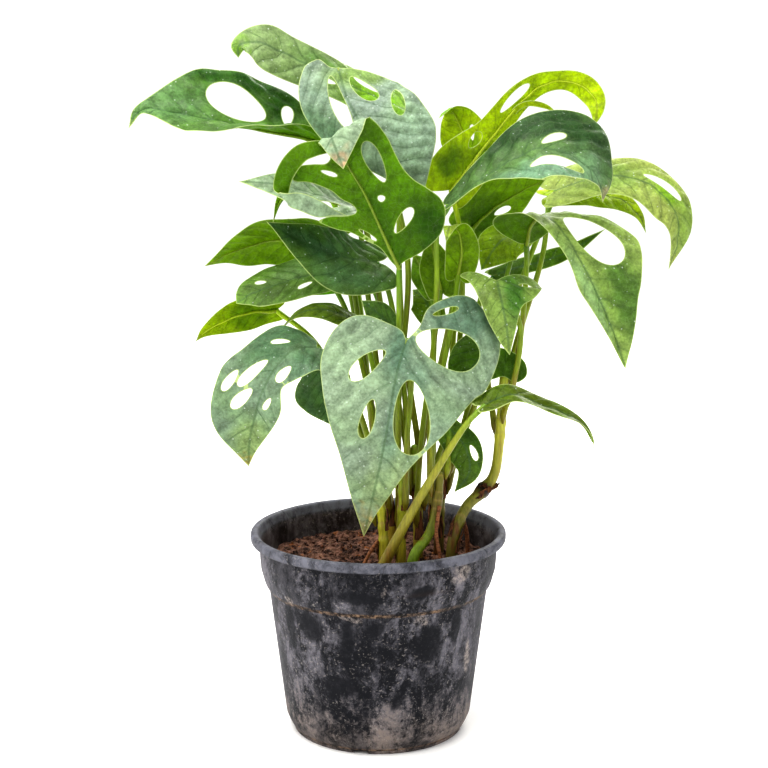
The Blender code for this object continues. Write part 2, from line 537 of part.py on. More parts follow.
def tube(name, centres, radii, sides):
    """A closed tube along the centres. Each ring is turned as little as it can be from the last."""
    centres = np.asarray(centres, float)
    ahead = unit(np.gradient(centres, axis=0))
    side = np.cross(ahead[0], (0.3, 1.0, 0.2))
    angle = np.arange(sides)[:, None] * 2 * math.pi / sides
    points = []
    for centre, direction, radius in zip(centres, ahead, radii):
        side = unit(side - direction * np.dot(side, direction))
        other = np.cross(direction, side)
        points.extend(centre + radius * (np.cos(angle) * side + np.sin(angle) * other))
    faces = [tuple(range(sides))]
    for i in range(len(centres) - 1):
        for j in range(sides):
            k = (j + 1) % sides
            faces.append((i * sides + j, i * sides + k, (i + 1) * sides + k, (i + 1) * sides + j))
    faces.append(tuple(range((len(centres) - 1) * sides, len(centres) * sides)))
    return solid(name, points, faces)


def cane_at(name, height):
    """The middle and the radius of a cane at a height."""
    cane = CANES[name]
    line = smooth_line(cane["line"])
    middle = np.array([np.interp(height, line[:, 2], line[:, i]) for i in range(2)] + [height])
    share = np.interp(height, (SOIL_LEVEL, line[-1, 2]), (0, 1))
    radius = cane["radii"][0] + share * (cane["radii"][1] - cane["radii"][0])
    return middle, radius


def beside(name, height, bearing, radius):
    """Two points beside a cane, where a stalk or a root of this radius leaves it."""
    way = np.array([math.cos(math.radians(bearing)), math.sin(math.radians(bearing)), 0.0])
    middle, thick = cane_at(name, height)
    return middle, way * (thick * NODE_SWELL + GAP + radius)


def leaf_heights(name):
    """The heights at which leaves and roots leave a cane."""
    rows = list(LEAVES.values()) + list(ROOTS.values())
    return sorted(row["height"] for row in rows if row.get("cane") == name)


def read_even(values, share):
    """One number, or numbers spaced evenly along the leaf, read at a share of its length."""
    values = np.atleast_1d(np.asarray(values, float))
    return np.interp(share, np.linspace(0, 1, len(values)), values)


class Blade:
    """The curved surface of a leaf: s is the length along its midrib, and t the width to its left."""

    def __init__(self, row):
        self.row = row
        self.line = smooth_line(row["midrib"], 16)
        self.lengths = lengths_of(self.line)
        self.length = self.lengths[-1]
        self.ahead = unit(np.gradient(self.line, self.lengths, axis=0))
        self.left = self.margin(row["left"])
        self.right = self.margin(row["right"])
        self.widths = (self.left[:, 1].max(), self.right[:, 1].max())

    def margin(self, width):
        """One half's margin, from the stalk to the tip, as s and the width there."""
        if isinstance(width, (int, float)):
            lobe = self.row["lobe"]
            widest = self.row["widest"]
            rest = self.length - widest
            width = [(-0.6 * lobe, 0.14 * width), (-lobe, 0.42 * width), (-0.5 * lobe, 0.78 * width),
                     (widest, width), (widest + 0.42 * rest, 0.72 * width),
                     (widest + 0.74 * rest, 0.33 * width), (widest + 0.91 * rest, 0.1 * width)]
        return smooth_line([(0, 0)] + list(width) + [(self.length, 0)], 12)

    def place(self, s, t):
        """The point of the surface at s and t, and the direction out of its upper side."""
        step = 0.2
        point = self.point(s, t)
        along = self.point(s + step, t) - point
        across = self.point(s, t + step) - point
        return point, unit(np.cross(along, across))

    def point(self, s, t):
        """Each half leaves the midrib at its fold and then turns down evenly, as an arc."""
        row = self.row
        share = np.clip(s / self.length, 0, 1)
        held = np.clip(s, 0, self.length)
        middle = np.stack([np.interp(held, self.lengths, self.line[:, i]) for i in range(3)], -1)
        ahead = unit(np.stack([np.interp(held, self.lengths, self.ahead[:, i]) for i in range(3)], -1))
        middle = middle + ahead * (s - held)[..., None]
        faces = np.asarray(row["face"], float)
        stations = np.linspace(0, 1, len(faces))
        face = np.stack([np.interp(share, stations, faces[:, i]) for i in range(3)], -1)
        face = unit(face - ahead * np.sum(face * ahead, -1, keepdims=True))
        left = np.cross(face, ahead)
        is_left = t > 0
        fold = np.radians(np.where(is_left, *(read_even(value, share) for value in row["fold"])))
        turn = np.radians(np.where(is_left, *(read_even(value, share) for value in row["curl"])))
        turn = np.where(np.abs(turn) < 1e-4, 1e-4, turn) / np.where(is_left, *self.widths)
        reach = np.abs(t)
        across = (np.sin(fold) - np.sin(fold - turn * reach)) / turn
        rise = (np.cos(fold - turn * reach) - np.cos(fold)) / turn
        return middle + (np.sign(t) * across)[..., None] * left + rise[..., None] * face


def outline(blade, step):
    """The margin of the whole blade, round from the stalk along the right half and back on the left."""
    left = spaced(blade.left, step)
    right = spaced(blade.right, step) * (1, -1)
    return np.vstack([right[:-1], left[:0:-1]])


def egg(hole, step):
    """A hole's edge, an oval that is fuller towards its second end."""
    s0, t0, s1, t1, width = hole
    middle = np.array([(s0 + s1) / 2, (t0 + t1) / 2])
    half = np.array([(s1 - s0) / 2, (t1 - t0) / 2])
    across = unit(np.array([-half[1], half[0]])) * width / 2
    around = math.pi * (np.linalg.norm(half) + width / 2)
    count = max(5, int(round(around / step)))
    angle = (np.arange(count) + 0.5) * 2 * math.pi / count
    full = 1 + 0.22 * np.cos(angle)
    return middle + np.cos(angle)[:, None] * half + (np.sin(angle) * full)[:, None] * across


def stations(blade, step):
    """The lengths along the midrib at which the mesh has a point on it."""
    count = max(3, int(round(blade.length / step)) + 1)
    return np.linspace(0, blade.length, count)


def cut_pattern(blade):
    """The flat pattern of the blade with its holes, split into triangles."""
    loops = [outline(blade, blade.row.get("edge", EDGE_STEP))]
    loops += [egg(hole, HOLE_STEP) for hole in blade.row.get("holes", ())]
    edge = np.vstack(loops)
    rib = stations(blade, min(INNER_STEP, 1.5 * blade.row.get("edge", EDGE_STEP)))[1:-1]
    rib = np.stack([rib, np.zeros_like(rib)], 1)
    low = edge.min(0)
    high = edge.max(0)
    fixed = np.vstack([edge, rib])
    across = np.arange(low[1] + CREASE_STEP / 2, high[1], CREASE_STEP)
    for s in blade.row.get("bends", ()):
        bend = np.stack([np.full_like(across, s), across], 1)
        distance = np.linalg.norm(bend[:, None] - fixed[None], axis=2).min(1)
        fixed = np.vstack([fixed, bend[distance > 0.4 * CREASE_STEP]])
    rows = np.arange(low[1] + INNER_STEP / 2, high[1], INNER_STEP * 0.87)
    inner = [np.zeros((0, 2))]
    for i, t in enumerate(rows):
        s = np.arange(low[0] + INNER_STEP * (0.5 + 0.5 * (i % 2)), high[0], INNER_STEP)
        inner.append(np.stack([s, np.full_like(s, t)], 1))
    inner = np.vstack(inner)
    distance = np.linalg.norm(inner[:, None] - fixed[None], axis=2).min(1)
    inner = inner[distance > 0.55 * INNER_STEP]
    points = np.vstack([fixed, inner])
    faces = []
    start = 0
    for loop in loops:
        faces.append(list(range(start, start + len(loop))))
        start += len(loop)
    chain = [0] + list(range(len(edge), len(edge) + len(rib))) + [int(np.argmax(loops[0][:, 0]))]
    edges = list(zip(chain[:-1], chain[1:]))
    result = delaunay_2d_cdt([Vector(p) for p in points], edges, faces, 1, 1e-4)
    flat = np.array([tuple(v) for v in result[0]])
    kept = [face for face, source in zip(result[2], result[5]) if set(source) == {0}]
    used = sorted({i for face in kept for i in face})
    number = {old: new for new, old in enumerate(used)}
    return flat[used], [tuple(number[i] for i in face) for face in kept]


def blade_solid(name, blade):
    """The blade as a plate of even thickness, with the same triangles on both sides."""
    flat, triangles = cut_pattern(blade)
    middle, out = blade.place(flat[:, 0], flat[:, 1])
    upper = middle + out * BLADE / 2
    lower = middle - out * BLADE / 2
    count = len(flat)
    faces = list(triangles)
    faces += [tuple(i + count for i in reversed(face)) for face in triangles]
    sides = {(face[i], face[(i + 1) % 3]) for face in triangles for i in range(3)}
    for a, b in sorted(sides):
        if (b, a) not in sides:
            faces.append((a, a + count, b + count))
            faces.append((a, b + count, b))
    return solid(name, np.vstack([upper, lower]), faces)


def rib_solid(blade):
    """The raised midrib, half sunk in the under side of the blade and thinner towards the tip."""
    where = stations(blade, INNER_STEP)
    where = where[where < RIB_REACH * blade.length + INNER_STEP / 2]
    radii = np.interp(where, (0, where[-1]), (RIB_RADIUS, RIB_TIP_RADIUS))
    middle, out = blade.place(where, np.full_like(where, 1e-6))
    return tube("rib", middle - out * radii[:, None] * 0.75, radii, STALK_SIDES)


def stalk_solid(row, blade):
    """The leaf stalk, from beside its cane, or from its own hole, to just under the blade."""
    if "cane" in row:
        foot, away = beside(row["cane"], row["height"], row["bearing"], STALK_FOOT_RADIUS)
        thick = STALK_FOOT_RADIUS
        start = [foot + away, cane_at(row["cane"], row["height"] + 10)[0] + away * 1.06]
    else:
        thick = row["foot_radius"]
        start = [np.array([*row["foot"], HOLE_FOOT]), np.array([*row["foot"], SOIL_LEVEL + 2])]
    base, out = blade.place(np.array([0.0]), np.array([1e-6]))
    end = base[0] - out[0] * STALK_TOP_RADIUS * 0.7
    line = smooth_line(start + [np.array(p, float) for p in row["stalk"]] + [end])
    centres = spaced(line, STALK_STEP)
    radii = np.linspace(thick, STALK_TOP_RADIUS, len(centres))
    return tube("stalk", centres, radii, STALK_SIDES)


def make_leaf(name, row):
    """A leaf in one solid: its blade, its straps, its midrib and its stalk."""
    blade = Blade(row)
    made = blade_solid(name, blade)
    straps = [blade_solid("strap", Blade(strap)) for strap in row.get("straps", ())]
    combine(made, [rib_solid(blade), stalk_solid(row, blade)] + straps, "UNION")
    return finish(made, (0.12, 0.28, 0.07), 0.45)


def make_cane(name, cane):
    """A cane with a swollen ring where each leaf leaves it."""
    line = smooth_line(cane["line"])
    top = line[-1, 2]
    rings = [h for h in leaf_heights(name) if h < top]
    marks = [HOLE_FOOT, SOIL_LEVEL] + rings + [top - 1.5, top]
    between = [(a + b) / 2 for a, b in zip(marks[1:-2], marks[2:-1])]
    heights = np.array(sorted(marks + between))
    centres = np.array([cane_at(name, h)[0] for h in heights])
    radii = np.array([cane_at(name, h)[1] * (NODE_SWELL if h in rings else 1.0) for h in heights])
    radii[-1] *= 0.6
    return finish(tube(name, centres, radii, CANE_SIDES), (0.22, 0.3, 0.06), 0.5)


def make_root(name, root):
    foot, away = beside(root["cane"], root["height"], root["bearing"], root["radii"][0])
    line = smooth_line([foot + away] + [np.array(p, float) for p in root["line"]])
    centres = spaced(line, 9.0)
    radii = np.linspace(*root["radii"], len(centres))
    return finish(tube(name, centres, radii, ROOT_SIDES), (0.3, 0.13, 0.05), 0.7)


def pot_inside():
    """The pot's inner profile, from the middle of the floor to the mouth."""
    return [(0, FLOOR), (HUB_RADIUS - 3, FLOOR), (HUB_RADIUS + 1, FOOT_HEIGHT + FLOOR),
            (WALL_FOOT_RADIUS - WALL - 5, FOOT_HEIGHT + FLOOR),
            (WALL_FOOT_RADIUS - WALL - 1.2, WALL_FOOT - 4),
            (WALL_FOOT_RADIUS - WALL + 0.3, WALL_FOOT + 4), (WALL_TOP_RADIUS - WALL, COLLAR_FOOT - 6),
            (WALL_TOP_RADIUS - WALL + 0.6, COLLAR_FOOT - 2.5), (COLLAR_FOOT_RADIUS - WALL, COLLAR_FOOT + 2),
            (COLLAR_RADIUS - WALL - 1.0, COLLAR_FOOT + 12),
            (COLLAR_RADIUS - WALL, POT_HEIGHT - LIP_HEIGHT - 3),
            (MOUTH_RADIUS, POT_HEIGHT - 1.5)]


def make_pot():
    """The moulded pot: rolled rim, collar, step, tapering wall and a foot ring with notches."""
    lip = POT_HEIGHT - LIP_HEIGHT
    under = [(0, 0), (HUB_RADIUS, 0), (HUB_RADIUS + 3, FOOT_HEIGHT), (FOOT_RADIUS - FOOT_WIDTH, FOOT_HEIGHT),
             (FOOT_RADIUS - FOOT_WIDTH, 0), (FOOT_RADIUS, 0), (FOOT_RADIUS, FOOT_HEIGHT - 0.4)]
    outside = [(FOOT_RADIUS + 1.0, FOOT_HEIGHT), (WALL_FOOT_RADIUS - 2.2, WALL_FOOT - 5.5),
               (WALL_FOOT_RADIUS, WALL_FOOT), (WALL_TOP_RADIUS, COLLAR_FOOT - 5),
               (WALL_TOP_RADIUS + 0.4, COLLAR_FOOT - 3.5), (COLLAR_FOOT_RADIUS - 0.8, COLLAR_FOOT - 1.2),
               (COLLAR_FOOT_RADIUS + 0.4, COLLAR_FOOT + 2), (COLLAR_RADIUS - 0.7, COLLAR_FOOT + 11),
               (COLLAR_RADIUS, COLLAR_FOOT + 20), (COLLAR_RADIUS + 0.2, lip + 0.4), (RIM_RADIUS - 1, lip),
               (RIM_RADIUS, lip + 1.4), (RIM_RADIUS, POT_HEIGHT - 1.8), (RIM_RADIUS - 1.2, POT_HEIGHT - 0.3),
               (RIM_RADIUS - 2.4, POT_HEIGHT), (MOUTH_RADIUS + 1.2, POT_HEIGHT)]
    pot = turned("pot", under + outside + pot_inside()[::-1], POT_SIDES)
    cutters = []
    for i in range(DRAIN_COUNT):
        angle = (i + 0.5) * 2 * math.pi / DRAIN_COUNT
        drain = turned("drain", [(0, -2), (DRAIN_RADIUS, -2), (DRAIN_RADIUS, 9), (0, 9)], 10)
        drain.location = Vector((math.cos(angle), math.sin(angle), 0)) * DRAIN_RING * MM
        cutters.append(drain)
    for i in range(NOTCH_COUNT):
        angle = math.radians(NOTCH_BEARING) + i * 2 * math.pi / NOTCH_COUNT
        inner = FOOT_RADIUS - FOOT_WIDTH - 2
        outer = FOOT_RADIUS + 4
        corners = [(r, w * NOTCH_WIDTH / 2, z) for r in (inner, outer) for w in (-1, 1)
                   for z in (-2, NOTCH_HEIGHT)]
        notch = solid("notch", corners, [(0, 1, 3, 2), (4, 6, 7, 5), (0, 4, 5, 1), (2, 3, 7, 6),
                                         (0, 2, 6, 4), (1, 5, 7, 3)])
        notch.rotation_euler.z = angle
        cutters.append(notch)
    combine(pot, cutters, "DIFFERENCE")
    return finish(pot, (0.03, 0.031, 0.036), 0.6, 35.0)


def soil_top(radius, angle):
    """The soil's height: low bumps that fade out at the wall."""
    x = radius * np.cos(angle)
    y = radius * np.sin(angle)
    bumps = np.sin(x / 9.0 + 1.3) * np.cos(y / 11.0) + 0.5 * np.sin((x + y) / 6.0)
    return SOIL_LEVEL + SOIL_BUMP * bumps * (1 - (radius / 86.0) ** 4)


def make_soil():
    """The soil follows the pot's inside and has a plain hole for each stem and root."""
    inside = [(r, z) for r, z in pot_inside() if z < SOIL_LEVEL - 1]
    edge = np.interp(SOIL_LEVEL, [z for r, z in pot_inside()], [r for r, z in pot_inside()])
    profile = [(0, FLOOR + GAP)] + [(r - GAP, z + GAP) for r, z in inside[1:]]
    profile += [(edge - GAP - 0.2, SOIL_LEVEL - 0.5)]
    profile += [(r, SOIL_LEVEL) for r in (70, 50, 30, 12)] + [(0, SOIL_LEVEL)]
    soil = turned("soil", profile, SOIL_SIDES)
    for vertex in soil.data.vertices:
        x, y, z = vertex.co / MM
        if z > SOIL_LEVEL - 0.1:
            vertex.co.z = float(soil_top(math.hypot(x, y), math.atan2(y, x))) * MM
    feet = [(cane["line"][0][:2], cane["radii"][0], HOLE_FOOT) for cane in CANES.values()]
    feet += [(root["line"][-1][:2], root["radii"][1], root["line"][-1][2]) for root in ROOTS.values()]
    feet += [(row["foot"], row["foot_radius"], HOLE_FOOT) for row in LEAVES.values() if "foot" in row]
    cutters = []
    for (x, y), radius, bottom in feet:
        wide = (radius + HOLE_PLAY) / math.cos(math.pi / HOLE_SIDES)
        low = bottom - GAP
        cutter = turned("hole", [(0, low), (wide, low), (wide, 140), (0, 140)], HOLE_SIDES)
        cutter.location = Vector((x, y, 0)) * MM
        cutters.append(cutter)
    combine(soil, cutters, "DIFFERENCE")
    return finish(soil, (0.05, 0.022, 0.012), 0.95)


clear_scene()
make_pot()
make_soil()
for cane_name, cane_row in CANES.items():
    make_cane(cane_name, cane_row)
for root_name, root_row in ROOTS.items():
    make_root(root_name, root_row)
for leaf_name, leaf_row in LEAVES.items():
    make_leaf(leaf_name, leaf_row)
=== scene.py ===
"""A Swiss cheese plant (Monstera adansonii) in a black nursery pot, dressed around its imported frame.

Lengths are in millimetres until a mesh is written in metres. The front of the plant looks towards -Y.
"""

import math

import bmesh
import bpy
import numpy as np
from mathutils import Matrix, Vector
from mathutils.geometry import delaunay_2d_cdt


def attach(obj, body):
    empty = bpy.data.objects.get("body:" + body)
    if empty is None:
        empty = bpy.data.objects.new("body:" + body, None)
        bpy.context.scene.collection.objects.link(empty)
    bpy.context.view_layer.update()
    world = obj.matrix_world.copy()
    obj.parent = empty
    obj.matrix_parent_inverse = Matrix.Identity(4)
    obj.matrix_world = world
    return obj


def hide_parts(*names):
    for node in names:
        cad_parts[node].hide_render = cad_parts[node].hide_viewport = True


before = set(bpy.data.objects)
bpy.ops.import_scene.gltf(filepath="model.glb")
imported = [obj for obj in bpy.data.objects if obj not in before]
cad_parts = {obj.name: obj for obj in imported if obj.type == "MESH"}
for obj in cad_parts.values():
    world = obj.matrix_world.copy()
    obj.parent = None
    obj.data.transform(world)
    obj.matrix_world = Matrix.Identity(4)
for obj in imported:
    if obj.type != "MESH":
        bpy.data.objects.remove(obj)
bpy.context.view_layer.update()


# The view: a pale studio floor under soft daylight, seen by a short telephoto lens that stands
# 1.2 m in front of the pot and looks down at it by eleven degrees.
def linear(code):
    """A colour written as sRGB hex, as linear light: each part c becomes ((c + 0.055) / 1.055) ^ 2.4."""
    parts = np.array([int(code[i:i + 2], 16) for i in (1, 3, 5)]) / 255.0
    lit = np.where(parts <= 0.04045, parts / 12.92, ((parts + 0.055) / 1.055) ** 2.4)
    return (*lit.tolist(), 1.0)


def feed(node, inputs):
    """Sets a node's inputs. Text is a colour, a socket is linked, and a node stands for the first of its
    outputs that is in use."""
    for name, value in inputs.items():
        if isinstance(value, bpy.types.Node):
            value = next(output for output in value.outputs if output.enabled)
        if isinstance(value, bpy.types.NodeSocket):
            node.id_data.links.new(value, node.inputs[name])
        else:
            node.inputs[name].default_value = linear(value) if isinstance(value, str) else value


def put(name, data, place=(0.0, 0.0, 0.0)):
    """An object with this data, in the scene."""
    made = bpy.data.objects.new(name, data)
    made.location = place
    bpy.context.scene.collection.objects.link(made)
    return made


camera = put("camera", bpy.data.cameras.new("camera"), (0.0044, -1.2258, 0.4916))
camera.rotation_euler = (math.radians(90 - 10.624), 0.0, 0.0)
camera.data.sensor_width = 36.0
camera.data.lens = 79.56
bpy.context.scene.camera = camera
# The plain transform keeps the greens as saturated as the photo shows them and the paper white
bpy.context.scene.view_settings.view_transform = "Standard"
bpy.context.scene.view_settings.look = "High Contrast"

FLOOR_HALF = 4.0
floor = put("floor", bpy.data.meshes.new("floor"))
floor_corners = [(-FLOOR_HALF, -FLOOR_HALF, 0), (FLOOR_HALF, -FLOOR_HALF, 0),
                 (FLOOR_HALF, FLOOR_HALF, 0), (-FLOOR_HALF, FLOOR_HALF, 0)]
floor.data.from_pydata(floor_corners, [], [(0, 1, 2, 3)])
paper = bpy.data.materials.new("white_paper_sweep")
paper.use_nodes = True
feed(paper.node_tree.nodes["Principled BSDF"], {"Base Color": "#fafaf9", "Roughness": 0.9})
floor.data.materials.append(paper)

sky = bpy.data.worlds.new("soft_white_sky")
sky.use_nodes = True
feed(sky.node_tree.nodes["Background"], {"Color": "#fdfdff", "Strength": 0.8})
bpy.context.scene.world = sky

# Each lamp: where it stands, what it looks at, its width and height in metres, its power, its colour
LAMPS = [
    ("overhead_cloth", (-0.35, -0.2, 1.75), (0.0, 0.0, 0.35), (1.4, 1.4), 22.0, "#fffefa"),
    ("left_window", (-1.5, -1.1, 1.0), (0.0, 0.0, 0.3), (0.9, 1.2), 8.0, "#fffaf2"),
    ("back_window", (0.6, 1.5, 1.2), (0.0, 0.0, 0.38), (1.0, 1.0), 16.0, "#fffdf6"),
]
for name, place, target, spread, power, shade in LAMPS:
    lamp = put(name, bpy.data.lights.new(name, "AREA"), place)
    lamp.rotation_euler = (Vector(target) - Vector(place)).to_track_quat("-Z", "Y").to_euler()
    lamp.data.shape = "RECTANGLE"
    lamp.data.size, lamp.data.size_y = spread
    lamp.data.energy = power
    lamp.data.color = linear(shade)[:3]


# The pot: one moulding of recycled black polypropylene with a rolled rim, a collar for a firm grip,
# and a foot ring with notches. It has stood in a nursery, so potting dust clings to it.
MM = 0.001


def add(tree, kind, *inputs, **named):
    """Adds a shader node. Its inputs in use are filled in turn, or by name if the name starts with a
    capital letter. The other names are its own settings."""
    made = tree.nodes.new("ShaderNode" + kind)
    for name, value in named.items():
        if name[0].islower():
            setattr(made, name, value)
    in_use = [i for i, socket in enumerate(made.inputs) if socket.enabled]
    feed(made, dict(zip(in_use, inputs)))
    feed(made, {name: value for name, value in named.items() if name[0].isupper()})
    return made


def new_material(name):
    """A material, its node tree, its shader, and the shaded point's place in the piece."""
    made = bpy.data.materials.new(name)
    made.use_nodes = True
    tree = made.node_tree
    return made, tree, tree.nodes["Principled BSDF"], add(tree, "TexCoord").outputs["Object"]


def rounded(corners, radius, steps=4):
    """Corners turned to arcs: each corner p becomes (1-u)^2 a + 2u(1-u) p + u^2 b, where a and b lie
    on its two sides, a radius away or half the side's length if that is shorter."""
    p = np.asarray(corners, float)
    here = p[1:-1]
    ends = []
    for other in (p[:-2], p[2:]):
        side = np.linalg.norm(other - here, axis=1, keepdims=True)
        ends.append((here + (other - here) * np.minimum(radius / side, 0.5))[:, None])
    u = np.linspace(0, 1, steps)[None, :, None]
    arcs = (1 - u) ** 2 * ends[0] + 2 * u * (1 - u) * here[:, None] + u ** 2 * ends[1]
    return np.vstack([p[:1], arcs.reshape(-1, 2), p[-1:]])


def densified(line, step):
    """The line with points added, so that none of its sides is longer than the step."""
    line = np.asarray(line, float)
    made = [line[:1]]
    for a, b in zip(line[:-1], line[1:]):
        count = max(1, int(math.ceil(np.linalg.norm(b - a) / step)))
        made.append(a + (b - a) * (np.arange(1, count + 1) / count)[:, None])
    return np.vstack(made)


def turns(count):
    """The angles of this many points round a circle."""
    return np.arange(count) * 2 * math.pi / count


def ring_faces(rows, columns):
    """The quads of a grid whose columns run round and close: row i joins row i + 1."""
    i = np.arange(rows - 1)[:, None]
    j = np.arange(columns)[None, :]
    k = (j + 1) % columns
    quads = np.stack([i * columns + j, i * columns + k, (i + 1) * columns + k, (i + 1) * columns + j], -1)
    return quads.reshape(-1, 4)


def closed_grid(grid, start, end):
    """The points and faces of a grid whose columns run round and close. Its first row is drawn together
    to the start point, and its last row to the end point."""
    rows, columns = grid.shape[:2]
    first = np.arange(columns)
    last = first + (rows - 1) * columns
    faces = ring_faces(rows, columns).tolist()
    faces += np.stack([np.roll(first, -1), first, np.full(columns, rows * columns)], 1).tolist()
    faces += np.stack([last, np.roll(last, -1), np.full(columns, rows * columns + 1)], 1).tolist()
    return np.vstack([grid.reshape(-1, 3), start, end]), faces


def make_piece(name, points, faces, materials, crease):
    """A smooth object at the origin from points in millimetres, sharp where faces turn by the crease."""
    mesh = bpy.data.meshes.new(name)
    mesh.from_pydata((np.asarray(points) * MM).tolist(), [], [list(map(int, f)) for f in faces])
    mesh.update()
    for finish in materials:
        mesh.materials.append(finish)
    mesh.shade_smooth()
    mesh.set_sharp_from_angle(angle=math.radians(crease))
    return put(name, mesh)


def enter(piece, node=None):
    """Hides the solid that the piece stands for, when one is given, and hangs the piece on the root body."""
    if node:
        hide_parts(node)
    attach(piece, "root")


# The pot's driving dimensions: radii, and heights above the ground
POT_HEIGHT = 152.0
RIM_RADIUS = 95.0
MOUTH_RADIUS = 89.1
LIP_HEIGHT = 7.4
COLLAR_RADIUS = 88.2
COLLAR_FOOT_RADIUS = 84.6
COLLAR_FOOT = 113.0
WALL_TOP_RADIUS = 81.4
WALL_FOOT_RADIUS = 69.6
WALL_FOOT = 13.0
FOOT_RADIUS = 64.0
FOOT_HEIGHT = 3.2
FOOT_WIDTH = 8.0
HUB_RADIUS = 40.0
WALL = 1.8
POT_FLOOR = 2.0
NOTCH_HALF = 5.5
NOTCH_HEIGHT = 2.4
NOTCH_BEARING = -101.0
DRAINS = 6
DRAIN_RADIUS = 4.0
DRAIN_RING = 48.0
POT_SIDES = 240
lip = POT_HEIGHT - LIP_HEIGHT
# The outline from the middle of the floor, up the outside and up the inside
pot_outside = [
    (0, 0), (HUB_RADIUS, 0), (HUB_RADIUS + 3, FOOT_HEIGHT), (FOOT_RADIUS - FOOT_WIDTH, FOOT_HEIGHT),
    (FOOT_RADIUS - FOOT_WIDTH, 0), (FOOT_RADIUS, 0), (FOOT_RADIUS, FOOT_HEIGHT - 0.4),
    (FOOT_RADIUS + 1.0, FOOT_HEIGHT), (WALL_FOOT_RADIUS - 2.2, WALL_FOOT - 5.5),
    (WALL_FOOT_RADIUS, WALL_FOOT), (WALL_TOP_RADIUS, COLLAR_FOOT - 5),
    (WALL_TOP_RADIUS + 0.4, COLLAR_FOOT - 3.5), (COLLAR_FOOT_RADIUS - 0.8, COLLAR_FOOT - 1.2),
    (COLLAR_FOOT_RADIUS + 0.4, COLLAR_FOOT + 2), (COLLAR_RADIUS - 0.7, COLLAR_FOOT + 11),
    (COLLAR_RADIUS, COLLAR_FOOT + 20), (COLLAR_RADIUS + 0.2, lip + 0.4), (RIM_RADIUS - 1, lip),
    (RIM_RADIUS, lip + 1.4), (RIM_RADIUS, POT_HEIGHT - 1.8), (RIM_RADIUS - 1.2, POT_HEIGHT - 0.3),
    (RIM_RADIUS - 2.4, POT_HEIGHT), (MOUTH_RADIUS + 1.2, POT_HEIGHT)]
pot_inside = [
    (0, POT_FLOOR), (HUB_RADIUS - 3, POT_FLOOR), (HUB_RADIUS + 1, FOOT_HEIGHT + POT_FLOOR),
    (WALL_FOOT_RADIUS - WALL - 5, FOOT_HEIGHT + POT_FLOOR), (WALL_FOOT_RADIUS - WALL - 1.2, WALL_FOOT - 4),
    (WALL_FOOT_RADIUS - WALL + 0.3, WALL_FOOT + 4), (WALL_TOP_RADIUS - WALL, COLLAR_FOOT - 6),
    (WALL_TOP_RADIUS - WALL + 0.6, COLLAR_FOOT - 2.5), (COLLAR_FOOT_RADIUS - WALL, COLLAR_FOOT + 2),
    (COLLAR_RADIUS - WALL - 1.0, COLLAR_FOOT + 12), (COLLAR_RADIUS - WALL, lip - 3),
    (MOUTH_RADIUS, POT_HEIGHT - 1.5)]
pot_profile = densified(rounded(pot_outside + pot_inside[::-1], 1.1), 3.5)[1:-1]
pot_angle = turns(POT_SIDES)
pot_radius = np.repeat(pot_profile[:, :1], POT_SIDES, 1)
pot_z = np.repeat(pot_profile[:, 1:], POT_SIDES, 1)
notch_turn = (pot_angle - math.radians(NOTCH_BEARING) + math.pi / 4) % (math.pi / 2) - math.pi / 4
in_notch = np.abs(notch_turn) * FOOT_RADIUS < NOTCH_HALF
foot_rows = (pot_profile[:, 0] > FOOT_RADIUS - FOOT_WIDTH - 0.5) & (pot_profile[:, 1] < NOTCH_HEIGHT)
pot_z = np.where(foot_rows[:, None] & in_notch[None, :], NOTCH_HEIGHT, pot_z)
# The thin wall is a little out of round, as a moulding is that cooled with its load of soil
sway = 0.35 * np.sin(2 * pot_angle + 0.6) + 0.2 * np.sin(3 * pot_angle + 2.0) + 0.12 * np.sin(7 * pot_angle)
pot_radius = pot_radius + sway * np.clip((pot_z - 20) / 130, 0, 1) * (pot_radius > 30)
pot_grid = np.stack([pot_radius * np.cos(pot_angle), pot_radius * np.sin(pot_angle), pot_z], -1)

# Marks on the wall: the bearing in degrees, the height, half the width and half the height. Hands and
# leaves wiped the dust off some, and hard water dried to pale lime on others
WIPED_MARKS = [(-142, 91, 7, 22), (-127, 97, 9, 14), (-106, 88, 5, 25), (-62, 85, 12, 15), (-111, 54, 15, 7),
               (-79, 43, 6, 8), (-92, 101, 9, 6), (-68, 128, 12, 5), (-100, 126, 16, 5), (-45, 96, 5, 18)]
LIME_MARKS = [(-47, 135, 9, 7), (-134, 131, 4, 8), (-139, 114, 4, 5), (-67, 106, 5, 5), (-105, 109, 7, 3),
              (-31, 66, 5, 13), (-88, 131, 4, 7)]
# Recycled black polypropylene, moulded: charcoal with a dull satin, hazed by dried potting dust, paler
# and browner near the foot where mud splashed and dried. It is also painted paler towards its left and
# right sides: painted sheen of the wall where it is seen at a grazing angle
plastic, tree, surface, where = new_material("dusty_black_polypropylene")
x, y, z = add(tree, "SeparateXYZ", where).outputs
stretched = add(tree, "Mapping", where, Scale=(1.0, 1.0, 0.6))
smears = add(tree, "TexNoise", stretched, Scale=52.0, Detail=12.0, Roughness=0.76, Distortion=0.5)
crust = add(tree, "TexNoise", where, Scale=210.0, Detail=8.0, Roughness=0.8)
wiped = add(tree, "TexNoise", stretched, Scale=30.0, Detail=9.0, Roughness=0.64, Distortion=1.0)
